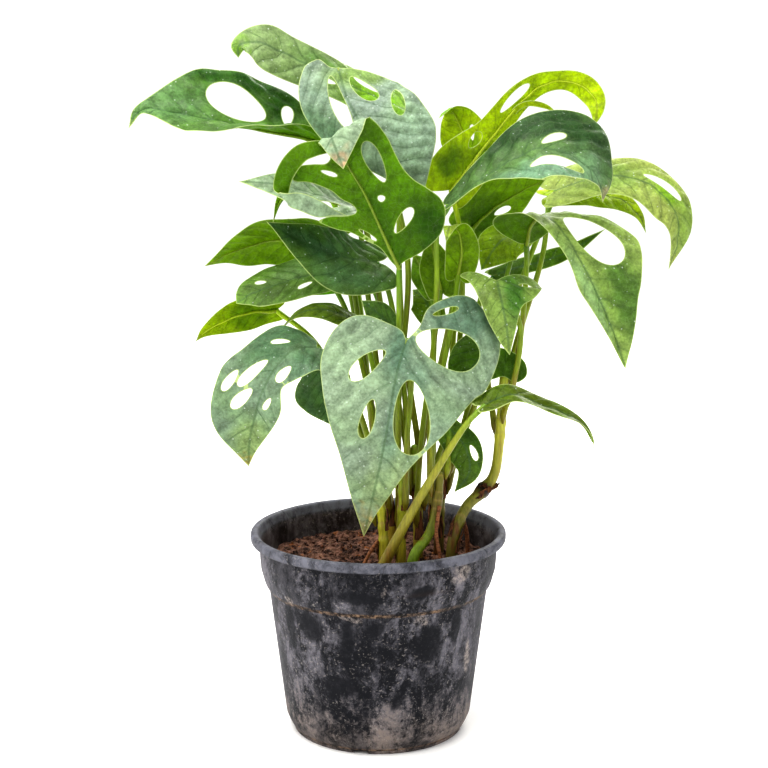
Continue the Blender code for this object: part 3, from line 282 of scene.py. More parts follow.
# The marks' outlines are ragged: each is an oval whose place is shifted by a noise
shift = add(tree, "VectorMath", wiped.outputs["Color"], (0.5, 0.5, 0.5), operation="SUBTRACT")
shift = add(tree, "VectorMath", shift, 0.022, operation="SCALE")
ragged = add(tree, "VectorMath", where, shift, operation="ADD")
mark_shares = []
for marks in (WIPED_MARKS, LIME_MARKS):
    share = None
    for bearing, level, half_width, half_height in marks:
        turn = math.radians(bearing)
        out = MM * float(np.interp(level, (WALL_FOOT, COLLAR_FOOT), (WALL_FOOT_RADIUS, WALL_TOP_RADIUS + 2)))
        spot = (out * math.cos(turn), out * math.sin(turn), level * MM)
        sizes = (1 / (half_width * MM), 1 / (half_width * MM), 1 / (half_height * MM))
        away = add(tree, "VectorMath", ragged, spot, operation="SUBTRACT")
        away = add(tree, "VectorMath", away, sizes, operation="MULTIPLY")
        away = add(tree, "VectorMath", away, operation="LENGTH")
        mark = add(tree, "MapRange", away, 1.25, 0.7, interpolation_type="SMOOTHSTEP")
        share = add(tree, "Math", mark, share, operation="MAXIMUM") if share else mark
    mark_shares.append(share)
# Painted sheen: the wall is made paler towards its left and right sides, added to the dust and to the mud
# near the foot
side_sheen = add(tree, "Math", x, operation="ABSOLUTE")
side_sheen = add(tree, "MapRange", side_sheen, 0.040, 0.078, 0.0, 0.085)
dust = add(tree, "Math", crust, 0.55, smears, operation="MULTIPLY_ADD")
dust = add(tree, "Math", dust, side_sheen, operation="ADD")
dust = add(tree, "MapRange", dust, 0.70, 0.96, interpolation_type="SMOOTHSTEP")
kept = add(tree, "MapRange", wiped, 0.40, 0.56, 0.35, 1.0, interpolation_type="SMOOTHSTEP")
unwiped = add(tree, "Math", mark_shares[0], -0.85, 1.0, operation="MULTIPLY_ADD")
kept = add(tree, "Math", kept, unwiped, operation="MULTIPLY")
dust = add(tree, "Math", dust, kept, operation="MULTIPLY")
hazed = add(tree, "Mix", dust, "#16171d", "#77757b", data_type="RGBA")
low = add(tree, "MapRange", z, 0.075, 0.004)
low = add(tree, "Math", low, side_sheen, operation="ADD")
mud = add(tree, "Math", crust, smears, operation="ADD")
mud = add(tree, "Math", low, 0.40, mud, operation="MULTIPLY_ADD")
mud = add(tree, "MapRange", mud, 1.16, 1.56, 0.0, 0.85, interpolation_type="SMOOTHSTEP")
mud = add(tree, "Math", mud, kept, operation="MULTIPLY")
muddy = add(tree, "Mix", mud, hazed, "#867a71", data_type="RGBA")
lime = add(tree, "MapRange", crust, 0.38, 0.64, 0.0, 0.85, interpolation_type="SMOOTHSTEP")
lime = add(tree, "Math", lime, mark_shares[1], operation="MULTIPLY")
limed = add(tree, "Mix", lime, muddy, "#aca19a", data_type="RGBA")
# Dry specks of grit a millimetre wide stick to the dust
grit = add(tree, "TexNoise", where, Scale=560.0, Detail=2.0)
grit = add(tree, "MapRange", grit, 0.60, 0.70, 0.0, 0.6)
grit = add(tree, "Math", grit, kept, operation="MULTIPLY")
gritty = add(tree, "Mix", grit, limed, "#96908c", data_type="RGBA")
# A thin band under the collar and a line just above the foot ring are drawn in dark to pale brown, and the
# rolled rim wears grey
step_low = add(tree, "MapRange", z, 0.1084, 0.1096, interpolation_type="SMOOTHSTEP")
step_high = add(tree, "MapRange", z, 0.1128, 0.1114, interpolation_type="SMOOTHSTEP")
band = add(tree, "Math", step_low, step_high, operation="MULTIPLY")
ledge = add(tree, "Math", z, 0.0034, operation="SUBTRACT")
ledge = add(tree, "Math", ledge, operation="ABSOLUTE")
ledge = add(tree, "MapRange", ledge, 0.0013, 0.0005)
band = add(tree, "Math", band, ledge, operation="ADD")
crumbly = add(tree, "MapRange", crust, 0.46, 0.60)
crumbly = add(tree, "Mix", crumbly, "#1f1714", "#927a64", data_type="RGBA")
band_share = add(tree, "MapRange", smears, 0.40, 0.55, 0.2, 0.9)
band_share = add(tree, "Math", band, band_share, operation="MULTIPLY")
banded = add(tree, "Mix", band_share, gritty, crumbly, data_type="RGBA")
rim_part = add(tree, "MapRange", z, 0.1445, 0.1462)
rim_dust = add(tree, "MapRange", smears, 0.38, 0.62, 0.1, 1.0)
rim_dust = add(tree, "Math", rim_part, rim_dust, operation="MULTIPLY")
rimmed = add(tree, "Mix", rim_dust, banded, "#73747d", data_type="RGBA")
# Above the soil, watering has splashed the inner wall with peat
flat = add(tree, "CombineXYZ", x, y)
flat = add(tree, "VectorMath", flat, operation="LENGTH")
inner = add(tree, "MapRange", flat, 0.0874, 0.0868)
above = add(tree, "MapRange", z, 0.1240, 0.1260, 0.0, 0.45)
inner = add(tree, "Math", inner, above, operation="MULTIPLY")
inner = add(tree, "Math", inner, smears, operation="MULTIPLY")
splashed = add(tree, "Mix", inner, rimmed, "#5c4638", data_type="RGBA")
rough = add(tree, "MapRange", dust, 0.0, 1.0, 0.50, 0.90)
scuffs = add(tree, "Bump", Strength=0.5, Distance=0.0005, Height=crust)
feed(surface, {"Base Color": splashed, "Roughness": rough, "Specular IOR Level": 0.2, "IOR": 1.49,
               "Normal": scuffs})

pot = make_piece("nursery_pot", *closed_grid(pot_grid, [0, 0, 0], [0, 0, POT_FLOOR]), [plastic], 38.0)
# Round drain holes are drilled through the floor, between its hub and the foot ring
DRILL_SIDES = 24
drill_points = []
drill_faces = []
around = turns(DRILL_SIDES)
for i in range(DRAINS):
    turn = (i + 0.5) * 2 * math.pi / DRAINS
    ring = np.stack([DRAIN_RING * math.cos(turn) + DRAIN_RADIUS * np.cos(around),
                     DRAIN_RING * math.sin(turn) + DRAIN_RADIUS * np.sin(around)], 1)
    start = 2 * DRILL_SIDES * i
    drill_points += [np.column_stack([ring, np.full(DRILL_SIDES, z)]) for z in (-3.0, 9.0)]
    drill_faces += (ring_faces(2, DRILL_SIDES) + start).tolist()
    drill_faces += [list(range(start + DRILL_SIDES - 1, start - 1, -1)),
                    list(range(start + DRILL_SIDES, start + 2 * DRILL_SIDES))]
drill = make_piece("drain_drill", np.vstack(drill_points), drill_faces, [], 0.0)
drill.data.shade_flat()
cut = pot.modifiers.new("drains", "BOOLEAN")
cut.operation = "DIFFERENCE"
cut.object = drill
cut.solver = "EXACT"
bpy.context.view_layer.update()
drained = bpy.data.meshes.new_from_object(pot.evaluated_get(bpy.context.evaluated_depsgraph_get()))
pot.modifiers.clear()
pot.data = drained
bpy.data.objects.remove(drill)
enter(pot, "pot")


# The soil: a moist mix of dark peat and fine bark, filled to 25 mm below the rim and settled by
# watering, with crumbs of peat and a few grains of bark lying loose on it.
SOIL_LEVEL = 127.0
SOIL_BUMP = 1.6
SOIL_SIDES = 300
SOIL_RINGS = 128
# Solids that touch in the real plant stand this far apart
GAP = 0.3
soil_edge = float(np.interp(SOIL_LEVEL, [z for r, z in pot_inside], [r for r, z in pot_inside])) - GAP


def ripple(points, length, seed, waves=7):
    """A smooth random height, mostly between -1 and 1: the sum of n sine waves of about this length that
    run in random directions, divided by the root of 1.2 n."""
    draw = np.random.default_rng(seed)
    ways = draw.normal(size=(waves, points.shape[-1]))
    ways /= np.linalg.norm(ways, axis=1, keepdims=True)
    lengths = length * draw.uniform(0.7, 1.4, waves)
    phases = draw.uniform(0, 2 * math.pi, waves)
    steps = ways * (2 * math.pi / lengths)[:, None]
    return np.sin(points @ steps.T + phases).sum(-1) / math.sqrt(waves * 1.2)


def soil_height(x, y):
    """The soil's top: low bumps as in the solid, with clods of 14 mm and crumbs of 4 mm on them."""
    bumps = np.sin(x / 9.0 + 1.3) * np.cos(y / 11.0) + 0.5 * np.sin((x + y) / 6.0)
    flat = np.stack([x, y], -1)
    clods = 1.1 * ripple(flat, 14.0, 3) + 0.7 * np.abs(ripple(flat, 6.0, 4)) + 0.35 * ripple(flat, 3.0, 5)
    return SOIL_LEVEL + SOIL_BUMP * bumps * (1 - (np.hypot(x, y) / 86.0) ** 4) + clods


soil_rings = np.concatenate([np.linspace(0.6, soil_edge - 0.4, SOIL_RINGS), [soil_edge - 0.1]])[:, None]
soil_side = [(r - GAP, z + GAP) for r, z in pot_inside if z < SOIL_LEVEL - 4][1:]
soil_side = densified(soil_side + [(soil_edge, SOIL_LEVEL - 3)], 12.0)[::-1]
ways = np.stack([np.cos(turns(SOIL_SIDES)), np.sin(turns(SOIL_SIDES))], -1)
soil_flat = np.concatenate([soil_rings, soil_side[:, :1]])[..., None] * ways
soil_z = np.concatenate([soil_height(*np.moveaxis(soil_flat[:len(soil_rings)], -1, 0)),
                         np.repeat(soil_side[:, 1:], SOIL_SIDES, 1)])
middle_top = float(soil_height(np.zeros(1), np.zeros(1))[0])
soil_points, soil_faces = closed_grid(np.concatenate([soil_flat, soil_z[..., None]], -1),
                                      [0, 0, middle_top], [0, 0, POT_FLOOR + GAP])

# Peat: nearly black brown where it is wet, redder where fibres dry, matte and crumbly all through
peat, tree, surface, where = new_material("moist_peat")
crumbs = add(tree, "TexVoronoi", where, Scale=330.0)
fibre = add(tree, "TexNoise", where, Scale=160.0, Detail=8.0, Roughness=0.68)
tone = add(tree, "MapRange", fibre, 0.40, 0.64)
peaty = add(tree, "Mix", tone, "#261712", "#957263", data_type="RGBA")
bark = add(tree, "SeparateColor", crumbs.outputs["Color"])
bark = add(tree, "MapRange", bark, 0.95, 0.98, 0.0, 0.7)
barked = add(tree, "Mix", bark, peaty, "#9a6236", data_type="RGBA")
clumps = add(tree, "Bump", Strength=0.9, Distance=0.0014, Height=fibre)
grit = add(tree, "Bump", Strength=0.6, Distance=0.0008, Height=crumbs, Normal=clumps, invert=True)
feed(surface, {"Base Color": barked, "Roughness": 0.93, "Specular IOR Level": 0.25, "Normal": grit})

soil = make_piece("peat_soil", soil_points, [face[::-1] for face in soil_faces], [peat], 70.0)
enter(soil, "soil")

# Loose crumbs: small lumps with twelve corners, pressed out of round and sunk by a third
CRUMBS = 1500
lump = bmesh.new()
bmesh.ops.create_icosphere(lump, subdivisions=1, radius=1.0)
lump_points = np.array([v.co[:] for v in lump.verts])
lump_faces = np.array([[v.index for v in f.verts] for f in lump.faces])
lump.free()
draw = np.random.default_rng(11)
reach = (soil_edge - 5) * np.sqrt(draw.uniform(0, 1, CRUMBS))
bearing = draw.uniform(0, 2 * math.pi, CRUMBS)
size = 0.5 + 1.5 * draw.uniform(0, 1, CRUMBS) ** 3
x = reach * np.cos(bearing)
y = reach * np.sin(bearing)
crumb = lump_points * draw.uniform(0.6, 1.25, (CRUMBS, 12, 1)) * draw.uniform(0.7, 1.3, (CRUMBS, 1, 3))
crumb = crumb * size[:, None, None] + np.stack([x, y, soil_height(x, y) + 0.3 * size], -1)[:, None]
crumb_faces = (lump_faces + 12 * np.arange(CRUMBS)[:, None, None]).reshape(-1, 3)
enter(make_piece("peat_crumbs", crumb.reshape(-1, 3), crumb_faces, [peat], 60.0))


# The canes: seven short ripe stems, green with olive and reddish streaks, that swell a little and
# carry a pale scar at each joint where a leaf stalk leaves them. They are rooted in the soil.
# Each cane: its middle line from the bottom of its hole up, and its radius at the foot and at the top
CANES = {
    "cane_left": dict(line=[(4, -26, 102), (4, -26, 129), (4, -26, 152), (2, -23, 176), (0, -20, 198)],
        radii=(3.7, 2.8)),
    "cane_front": dict(line=[(17, -18, 102), (17, -18, 129), (17, -19, 155), (18, -21, 182),
        (18, -24, 206)], radii=(3.9, 2.9)),
    "cane_fork": dict(line=[(24, -42, 102), (24, -42, 129), (27, -40, 144), (37, -34, 157), (43, -30, 178),
        (45, -26, 202)], radii=(4.0, 2.9)),
    "cane_middle": dict(line=[(30, 8, 102), (30, 8, 129), (30, 8, 160), (28, 8, 190), (27, 9, 214)],
        radii=(3.8, 2.8)),
    "cane_rear": dict(line=[(46, 20, 102), (46, 20, 129), (47, 21, 160), (49, 22, 190), (51, 24, 212)],
        radii=(3.8, 2.8)),
    "cane_far": dict(line=[(10, 16, 102), (10, 16, 129), (9, 17, 160), (6, 19, 188), (4, 21, 208)],
        radii=(3.6, 2.7)),
    "cane_right": dict(line=[(54, -14, 102), (54, -14, 129), (57, -12, 152), (66, -4, 170), (79, 3, 181),
        (87, 5, 194), (90, 5, 218), (92, 4, 249), (93, 4, 268)], radii=(4.2, 3.4)),
}

# Each leaf: the cane, height and bearing where its stalk leaves (or its foot in the soil), the stalk's
# line up to the blade, the midrib, and the way that the upper side faces along it. left and right give
# the margin as (distance along the midrib, distance from it), or the largest distance, with lobe and
# widest. fold and curl bend the halves, in degrees, 0 and 16 where none is given. A hole has its two
# ends and its width. A strap is a further blade that begins beside the first one's stalk
LEAVES = {
    "leaf_front": dict(cane="cane_front", height=172, bearing=-70, stalk=[(21, -31, 225), (24, -36, 268),
        (23, -46, 298)], midrib=[(20, -60, 304), (13, -75, 282), (7, -82, 248), (1, -78, 216),
        (-10, -62, 163)], face=[(0, -0.9, 0.4), (0, -1, 0.05), (0, -1, 0)], left=[(-13, 6), (-30, 9),
        (-45, 24), (-48, 37), (-41, 49), (-32, 60), (-16, 67), (4, 66), (28, 60), (57, 45), (91, 22),
        (117, 11), (133, 5)], right=[(-6, 5), (-9, 16), (-11, 31), (-6, 43), (6, 51), (25, 54), (42, 50),
        (65, 42), (91, 29), (122, 15), (138, 7)], fold=(-8, 4), curl=(10, 18),
        holes=[(13, -12, 36, -31, 12), (47, -13, 75, -16, 9.5), (29, 10, 82, 21, 25), (-4, 6, -6, 53, 28),
        (-25, 13, -37, 29, 4.5)]),
    "leaf_upright": dict(cane="cane_front", height=186, bearing=120, stalk=[(15, -30, 250), (15, -42, 311)],
        midrib=[(15, -45, 352), (5, -49, 374), (-8, -54, 403), (-20, -58, 424), (-27, -61, 437),
        (-31, -65, 444), (-31, -71, 444), (-28, -74, 436), (-23, -75, 423)],
        face=[(0, 1, 0.1)] * 14 + [(-0.1, 1, 0.2), (-0.2, 0.9, 0.4), (-0.5, 0.1, 0.9), (-0.2, -0.9, 0.3),
        (-0.1, -1, 0.1), (0, -1, 0), (0, -1, 0)], left=[(3, 4), (5, 20), (12, 37), (25, 46), (36, 47),
        (45, 42), (54, 35), (62, 32), (71, 32), (84, 33), (94, 32), (102, 30), (108, 28), (113, 24),
        (125, 11)], right=[(7, 3), (19, 6), (28, 13), (37, 20), (43, 28), (51, 35), (56, 37), (55, 29),
        (50, 19), (49, 11), (55, 11), (63, 16), (72, 19), (80, 25), (85, 31), (89, 38), (94, 36), (97, 29),
        (94, 21), (90, 13), (92, 8), (97, 8), (103, 10), (108, 10), (113, 9), (125, 5)],
        fold=(0, (4, 8, 4, 0)), curl=((16, 12, 4, 0), (16, 16, 4, 0)), holes=[(60, 16, 91, 18, 11),
        (49, 8, 53, 10, 5), (25, 8, 37, 26, 8), (87, -18, 79, -10, 3), (37, -14, 25, -6, 2.5)],
        straps=[dict(midrib=[(-30, -60, 437), (-37, -63, 437), (-44, -63, 436), (-52, -62, 433),
        (-59, -61, 426), (-64, -60, 417), (-66, -60, 408), (-65, -63, 404), (-61, -67, 402),
        (-51, -67, 400), (-38, -64, 395), (-20, -49, 389)], face=[(0, 1, 0)] * 10 + [(-0.7, 0.5, -0.5),
        (-0.8, -0.3, -0.5), (-0.2, -1, -0.1), (0, -1, 0.1), (0, -1, 0.1), (0, -1, 0.1), (0, -1, 0.1),
        (0, -1, 0.1), (0, -1, 0.1), (0, -1, 0.1), (0, -1, 0.1)], left=[(1, 3), (14, 5.5), (32, 6.5),
        (48, 6), (62, 5), (74, 6), (88, 5), (100, 2)], right=[(1, 3), (14, 5.5), (32, 6.5), (48, 6),
        (62, 5), (74, 6), (88, 6), (100, 2)], curl=(6, 6))]),
    "leaf_far_left": dict(cane="cane_far", height=196, bearing=60, stalk=[(5, 28, 290), (-8, 24, 370),
        (-26, 16, 420)], midrib=[(-40, 12, 437), (-62, 10, 443), (-94, 6, 448), (-127, 2, 455),
        (-166, -4, 461), (-177, -8, 448)], face=[(0.1, -0.5, 0.85), (0, -0.5, 0.85), (0, -0.5, 0.85),
        (0, -0.5, 0.85)], left=[(-4, 8), (8, 20), (30, 28), (60, 31), (89, 33), (103, 29), (120, 16),
        (135, 5)], right=[(2, 5), (8, 14), (15, 25), (25, 37), (39, 46), (57, 50), (81, 46), (95, 43),
        (111, 29), (130, 7)], fold=((60, 40, 12, 12), (14, 20, 24, 20)), curl=(4, 8),
        holes=[(43, -11, 87, -28, 28), (27, -7, 28, -26, 8)]),
    "leaf_crown_left": dict(cane="cane_middle", height=202, bearing=60, stalk=[(18, 40, 300), (16, 50, 390),
        (20, 46, 436)], midrib=[(20, 40, 460), (-6, 36, 471), (-31, 28, 483), (-62, 20, 498),
        (-86, 14, 508), (-99, 12, 506), (-100, 12, 497)], face=[(0, -0.5, 0.9), (0, -0.8, 0.6),
        (0, -0.8, 0.6)], left=[(-6, 6), (-10, 14), (20, 22), (60, 18), (98, 20), (116, 18), (132, 8)],
        right=[(-6, 6), (-10, 14), (20, 22), (60, 17), (95, 16), (114, 18), (130, 9)], fold=(0, 4),
        curl=(12, 12), holes=[(20, -7, 44, -11, 8), (56, 5, 74, 7, 5)]),
    "leaf_crown_centre": dict(cane="cane_far", height=178, bearing=20, stalk=[(15, 13, 250), (22, 16, 350),
        (2, 8, 430), (-22, 4, 474)], midrib=[(-28, -8, 490), (-22, -20, 471), (-13, -29, 454),
        (-1, -34, 438), (15, -33, 421), (33, -28, 406)], face=[(0.1, -0.8, 0.6), (0, -1, 0.3), (0, -1, 0.1),
        (0, -1, 0)], left=[(1, 5), (3, 12), (7, 23), (14, 33), (27, 40), (45, 43), (67, 44), (84, 41),
        (95, 34), (101, 25), (107, 12)], right=[(-2, 6), (-9, 11), (-9, 16), (-6, 23), (4, 29), (14, 32),
        (24, 33), (36, 31), (47, 28), (60, 22), (80, 14), (100, 7)], fold=(0, 6), curl=(16, 20),
        holes=[(6, -7, 47, -8, 10), (9, 7, 35, 19, 12), (32, 34, 60, 27, 9)]),
    "leaf_left_mid": dict(cane="cane_far", height=160, bearing=270, stalk=[(2, 7, 250), (-8, 22, 330),
        (-14, 20, 380)], midrib=[(-18, -6, 393), (-41, -20, 401), (-68, -30, 409), (-97, -34, 412)],
        face=[(0, -0.5, 0.85), (0, -0.6, 0.8), (0, -0.6, 0.8)], left=24, right=22, lobe=10, widest=28,
        fold=(6, 6), curl=(14, 14), holes=[(14, 6, 34, 12, 7)]),
    "leaf_left_dark": dict(cane="cane_middle", height=176, bearing=220, stalk=[(20, 2, 250), (10, 8, 320)],
        midrib=[(0, 8, 351), (-24, -6, 356), (-52, -16, 369), (-79, -22, 383)], face=[(0, -0.7, 0.7),
        (0, -0.8, 0.6), (0, -0.7, 0.7)], left=31, right=24, lobe=12, widest=26, fold=(4, 4)),
    "leaf_left_far": dict(cane="cane_far", height=188, bearing=170, stalk=[(-9, 28, 260), (-22, 40, 330)],
        midrib=[(-30, 45, 365), (-59, 46, 365), (-85, 46, 362), (-110, 44, 354), (-130, 40, 344)],
        face=[(0, 0.6, 0.8), (0, 0.8, 0.6), (0, 0.7, 0.7), (0, 0.6, 0.8)], left=[(-10, 8), (-8, 18),
        (16, 24), (34, 22), (52, 27), (70, 22), (88, 9)], right=[(-10, 8), (-8, 18), (18, 22), (40, 26),
        (60, 22), (76, 18), (90, 8)]),
    "leaf_left_low": dict(cane="cane_left", height=190, bearing=110, stalk=[(-6, 0, 250), (-22, 14, 310)],
        midrib=[(-39, 20, 343), (-57, 17, 339), (-76, 14, 333), (-93, 12, 327), (-104, 10, 320)],
        face=[(0, -0.6, 0.8), (0, -0.5, 0.85), (0, -0.6, 0.8)], left=[(-8, 6), (-12, 15), (2, 21), (20, 22),
        (40, 21), (56, 15), (65, 7)], right=[(-8, 6), (-12, 15), (2, 22), (22, 23), (42, 22), (57, 16),
        (66, 8)], fold=(4, 4), curl=(14, 14), holes=[(12, 9, 24, 12, 4), (44, -6, 52, -9, 4)]),
    "leaf_left_inner": dict(cane="cane_middle", height=190, bearing=130, stalk=[(14, 30, 250),
        (2, 44, 310)], midrib=[(-8, 50, 337), (-33, 58, 329), (-60, 64, 318)], face=[(0, 0.7, 0.7),
        (0, 0.7, 0.7)], left=14, right=14, lobe=6, widest=18),
    "leaf_left_back": dict(cane="cane_far", height=170, bearing=135, stalk=[(-7, 46, 250), (-15, 66, 320)],
        midrib=[(-24, 74, 352), (-50, 76, 354), (-88, 72, 342)], face=[(0, -0.5, 0.85), (0, -0.5, 0.85)],
        left=18, right=18, lobe=8, widest=26, fold=(4, 4), curl=(14, 14), holes=[(22, 6, 40, 8, 9),
        (14, -7, 30, -9, 6)]),
    "leaf_arching": dict(cane="cane_left", height=172, bearing=60, stalk=[(4, -12, 230), (-6, -4, 286)],
        midrib=[(-16, 0, 308), (-35, -6, 317), (-56, -10, 316), (-73, -12, 303)], face=[(0, -0.5, 0.87),
        (0, -0.4, 0.9), (0, 0.2, 0.9)], left=12, right=14, lobe=6, widest=20, curl=(20, 20)),
    "leaf_low_left": dict(cane="cane_left", height=182, bearing=230, stalk=[(-8, -27, 230),
        (-26, -32, 276)], midrib=[(-43, -34, 295), (-55, -43, 296), (-66, -50, 290), (-76, -54, 277),
        (-84, -54, 258), (-91, -46, 231), (-93, -36, 208)], face=[(0, -0.6, 0.8), (-0.2, -0.7, 0.7),
        (-0.3, -0.9, 0.4), (-0.1, -1, 0), (0, -1, -0.2)], left=[(-6, 5), (-12, 13), (-10, 23), (2, 26),
        (26, 25), (38, 19), (50, 13), (64, 18), (78, 16), (96, 10), (110, 4)], right=[(-2, 6), (4, 14),
        (10, 19), (16, 27), (28, 29), (40, 31), (56, 37), (79, 34), (95, 26), (108, 11)], fold=(4, 6),
        curl=(14, 14), holes=[(53, -24, 70, -29, 7), (38, -8, 62, -19, 8), (60, -8, 78, -18, 8),
        (32, 10, 47, 7, 7), (60, 8, 70, 5, 4), (18, -8, 27, -17, 4)]),
    "leaf_low_back": dict(cane="cane_left", height=160, bearing=160, stalk=[(-8, -16, 200), (-24, -8, 245)],
        midrib=[(-34, -6, 268), (-34, -12, 255), (-30, -16, 232)], face=[(-0.2, -0.9, 0.4), (0, -1, 0)],
        left=16, right=28, lobe=8, widest=12),
    "leaf_right_small": dict(cane="cane_middle", height=164, bearing=340, stalk=[(50, 6, 220),
        (72, -1, 270)], midrib=[(83, -6, 290), (68, -8, 275), (57, -8, 253)], face=[(0, -0.8, 0.6),
        (0, -1, 0.2)], left=[(-5, 6), (-9, 16), (-9, 26), (-3, 33), (5, 31), (8, 22), (16, 18), (30, 12),
        (40, 4)], right=[(-6, 4), (-10, 10), (-4, 18), (12, 22), (28, 16), (38, 6)]),
    "leaf_right_hang": dict(cane="cane_right", height=232, bearing=280, stalk=[(98, -19, 264),
        (102, -24, 308)], midrib=[(84, -36, 343), (85, -44, 338), (87, -49, 329), (90, -50, 313),
        (93, -47, 291)], face=[(0, -0.8, 0.6), (0, -0.9, 0.4), (0, -1, 0.2), (0, -1, 0)], left=[(-4, 6),
        (-7, 14), (-6, 23), (-2, 29), (6, 32), (15, 30), (22, 23), (25, 15), (30, 11), (42, 6)],
        right=[(-4, 5), (-11, 12), (-14, 20), (-11, 25), (-4, 20), (6, 17), (16, 15), (32, 12), (48, 6)],
        fold=(-6, 0), curl=(14, 10), holes=[(5, 15, 6, 24, 6)]),
    "leaf_right_narrow": dict(foot=(-1, -55), foot_radius=4.8, stalk=[(4, -56, 140), (23, -60, 178),
        (33, -63, 197), (48, -68, 224), (62, -72, 247)], midrib=[(75, -68, 260), (93, -62, 266),
        (118, -58, 257), (142, -54, 245), (153, -50, 230), (152, -48, 219)], face=[(0, -0.4, 0.9),
        (0, -0.4, 0.9), (0.5, -0.2, 0.8)], left=10, right=10, lobe=8, widest=24, fold=(14, 14)),
    "leaf_low_curl": dict(cane="cane_fork", height=196, bearing=20, stalk=[(51, -16, 214)],
        midrib=[(53, -8, 230), (64, -14, 217), (67, -16, 199), (56, -14, 183)], face=[(0.2, -0.8, 0.5),
        (0, -1, 0), (0, -1, 0)], left=12, right=15, lobe=6, widest=18, curl=(24, 24),
        holes=[(18, 4, 29, 5, 4.5)]),
    "leaf_right_dark": dict(cane="cane_fork", height=184, bearing=200, stalk=[(38, -24, 250),
        (42, -26, 330), (42, -28, 376)], midrib=[(49, -34, 396), (78, -46, 419), (111, -56, 436),
        (138, -60, 428), (152, -57, 413), (155, -54, 399)], face=[(0, -0.5, 0.85), (0, -0.6, 0.8),
        (0.3, -0.6, 0.7), (0.8, -0.5, 0.2)], left=[(-4, 4), (0, 10), (14, 15), (34, 22), (53, 29), (72, 37),
        (86, 47), (100, 50), (116, 42), (128, 25), (136, 12)], right=[(-4, 4), (2, 6), (22, 5), (40, 10),
        (56, 21), (80, 33), (102, 28), (116, 14), (128, 5)], fold=(2, 8), curl=(8, 6),
        holes=[(79, 5, 91, 19, 7), (70, -17, 112, -9, 11)]),
    "leaf_right_top": dict(cane="cane_rear", height=196, bearing=280, stalk=[(58, 18, 260), (62, 12, 320),
        (60, 0, 370)], midrib=[(52, -2, 404), (72, 6, 429), (89, 10, 450), (102, 12, 465), (116, 12, 477),
        (131, 12, 481), (145, 8, 478), (154, 2, 470), (156, -3, 461), (154, -5, 449)],
        face=[(-0.4, 0.9, 0.2), (-0.4, 0.9, 0.2), (-0.2, 0.9, 0.4), (0.35, 0.9, 0.3)], left=[(-6, 8),
        (-4, 16), (20, 18), (46, 15), (62, 9), (82, 7), (100, 7), (118, 7), (134, 9), (150, 7)],
        right=[(-6, 6), (-12, 16), (-4, 27), (14, 29), (34, 22), (50, 16), (66, 15), (84, 14), (98, 11),
        (112, 8), (126, 9), (138, 9), (152, 6)], curl=(10, 10), holes=[(66, -7, 94, -6, 7),
        (20, 4, 36, 10, 8), (32, -9, 46, -9, 8)], straps=[dict(midrib=[(92, 15, 449), (96, 12.5, 456),
        (101, 10, 462), (109, 8, 465), (120, 6, 463), (129, 4, 458)], face=[(-0.3, 0.9, 0.3),
        (0, 0.9, 0.4)], left=[(1, 2), (10, 2.4), (24, 2.2), (36, 2)], right=[(1, 2), (10, 2.4), (24, 2.2),
        (36, 2)], curl=(4, 4))]),
    "leaf_back_top": dict(cane="cane_rear", height=204, bearing=60, stalk=[(58, 44, 300), (72, 56, 375)],
        midrib=[(75, 48, 415), (66, 58, 438), (55, 60, 459), (45, 52, 453)], face=[(0.3, 0.6, 0.7),
        (0, 0.6, 0.8), (-0.6, -0.2, 0.8)], left=22, right=22, lobe=8, widest=26,
        holes=[(22, 6, 34, 10, 6)]),
    "leaf_right_far": dict(cane="cane_rear", height=186, bearing=340, stalk=[(78, 10, 260), (110, 12, 350)],
        midrib=[(131, 26, 402), (163, 26, 412), (192, 24, 409), (212, 20, 395), (221, 18, 373),
        (214, 18, 344)], face=[(0, -0.5, 0.85), (0.2, -0.6, 0.8), (0.6, -0.7, 0.4), (0.8, -0.6, 0)],
        left=24, right=22, lobe=10, widest=80, fold=(4, 4), curl=(14, 14), holes=[(64, 7, 94, 12, 8)]),
    "leaf_right_droop": dict(cane="cane_right", height=258, bearing=350, stalk=[(103, -4, 288),
        (106, -9, 324), (107, -11, 352)], midrib=[(106, -17, 367), (108, -28, 382), (116, -38, 389),
        (127, -50, 380), (140, -60, 359), (153, -64, 333), (165, -60, 306), (174, -52, 282)],
        face=[(-0.1, 0.9, 0.3), (0, 0.1, 1), (0.3, -0.7, 0.7), (0.4, -0.9, 0.4), (0.4, -0.9, 0.3),
        (0.4, -0.9, 0.2), (0.3, -0.9, 0)], left=[(0, 4), (5, 11), (12, 17), (22, 20), (42, 23), (56, 37),
        (80, 46), (92, 44), (104, 37), (113, 31), (121, 25), (134, 18), (146, 11), (156, 5)],
        right=[(-1, 4), (3, 12), (9, 21), (16, 27), (24, 26), (34, 19), (50, 12), (72, 10), (83, 11),
        (96, 14), (108, 12), (122, 9), (137, 6), (152, 3)],
        fold=((4, 4, 4, 12, 20, 22, 22), (6, 6, 6, 12, 20, 22, 22)), curl=((0, 4, 10, 10), (0, 6, 20, 20)),
        holes=[(44, 10, 92, 27, 25)]),
    "leaf_right_edge": dict(cane="cane_right", height=222, bearing=130, stalk=[(82, 24, 262),
        (76, 38, 314)], midrib=[(87, 40, 337), (107, 46, 343), (126, 52, 347), (147, 60, 354),
        (174, 72, 369)], face=[(0, -0.7, 0.7), (0, -0.8, 0.6), (0, -0.8, 0.6)], left=8, right=7, lobe=4,
        widest=40, fold=(4, 4), curl=(14, 14)),
    "leaf_right_mid": dict(cane="cane_right", height=246, bearing=70, stalk=[(103, 18, 290),
        (121, 22, 352)], midrib=[(128, 48, 396), (156, 52, 399), (181, 50, 393), (195, 48, 382),
        (201, 46, 368)], face=[(0, -0.4, 0.9), (0.2, -0.5, 0.8), (0.6, -0.5, 0.5)], left=16, right=18,
        lobe=8, widest=34, fold=(4, 4), curl=(14, 14)),
    "leaf_under_right": dict(cane="cane_middle", height=208, bearing=0, stalk=[(50, 16, 290),
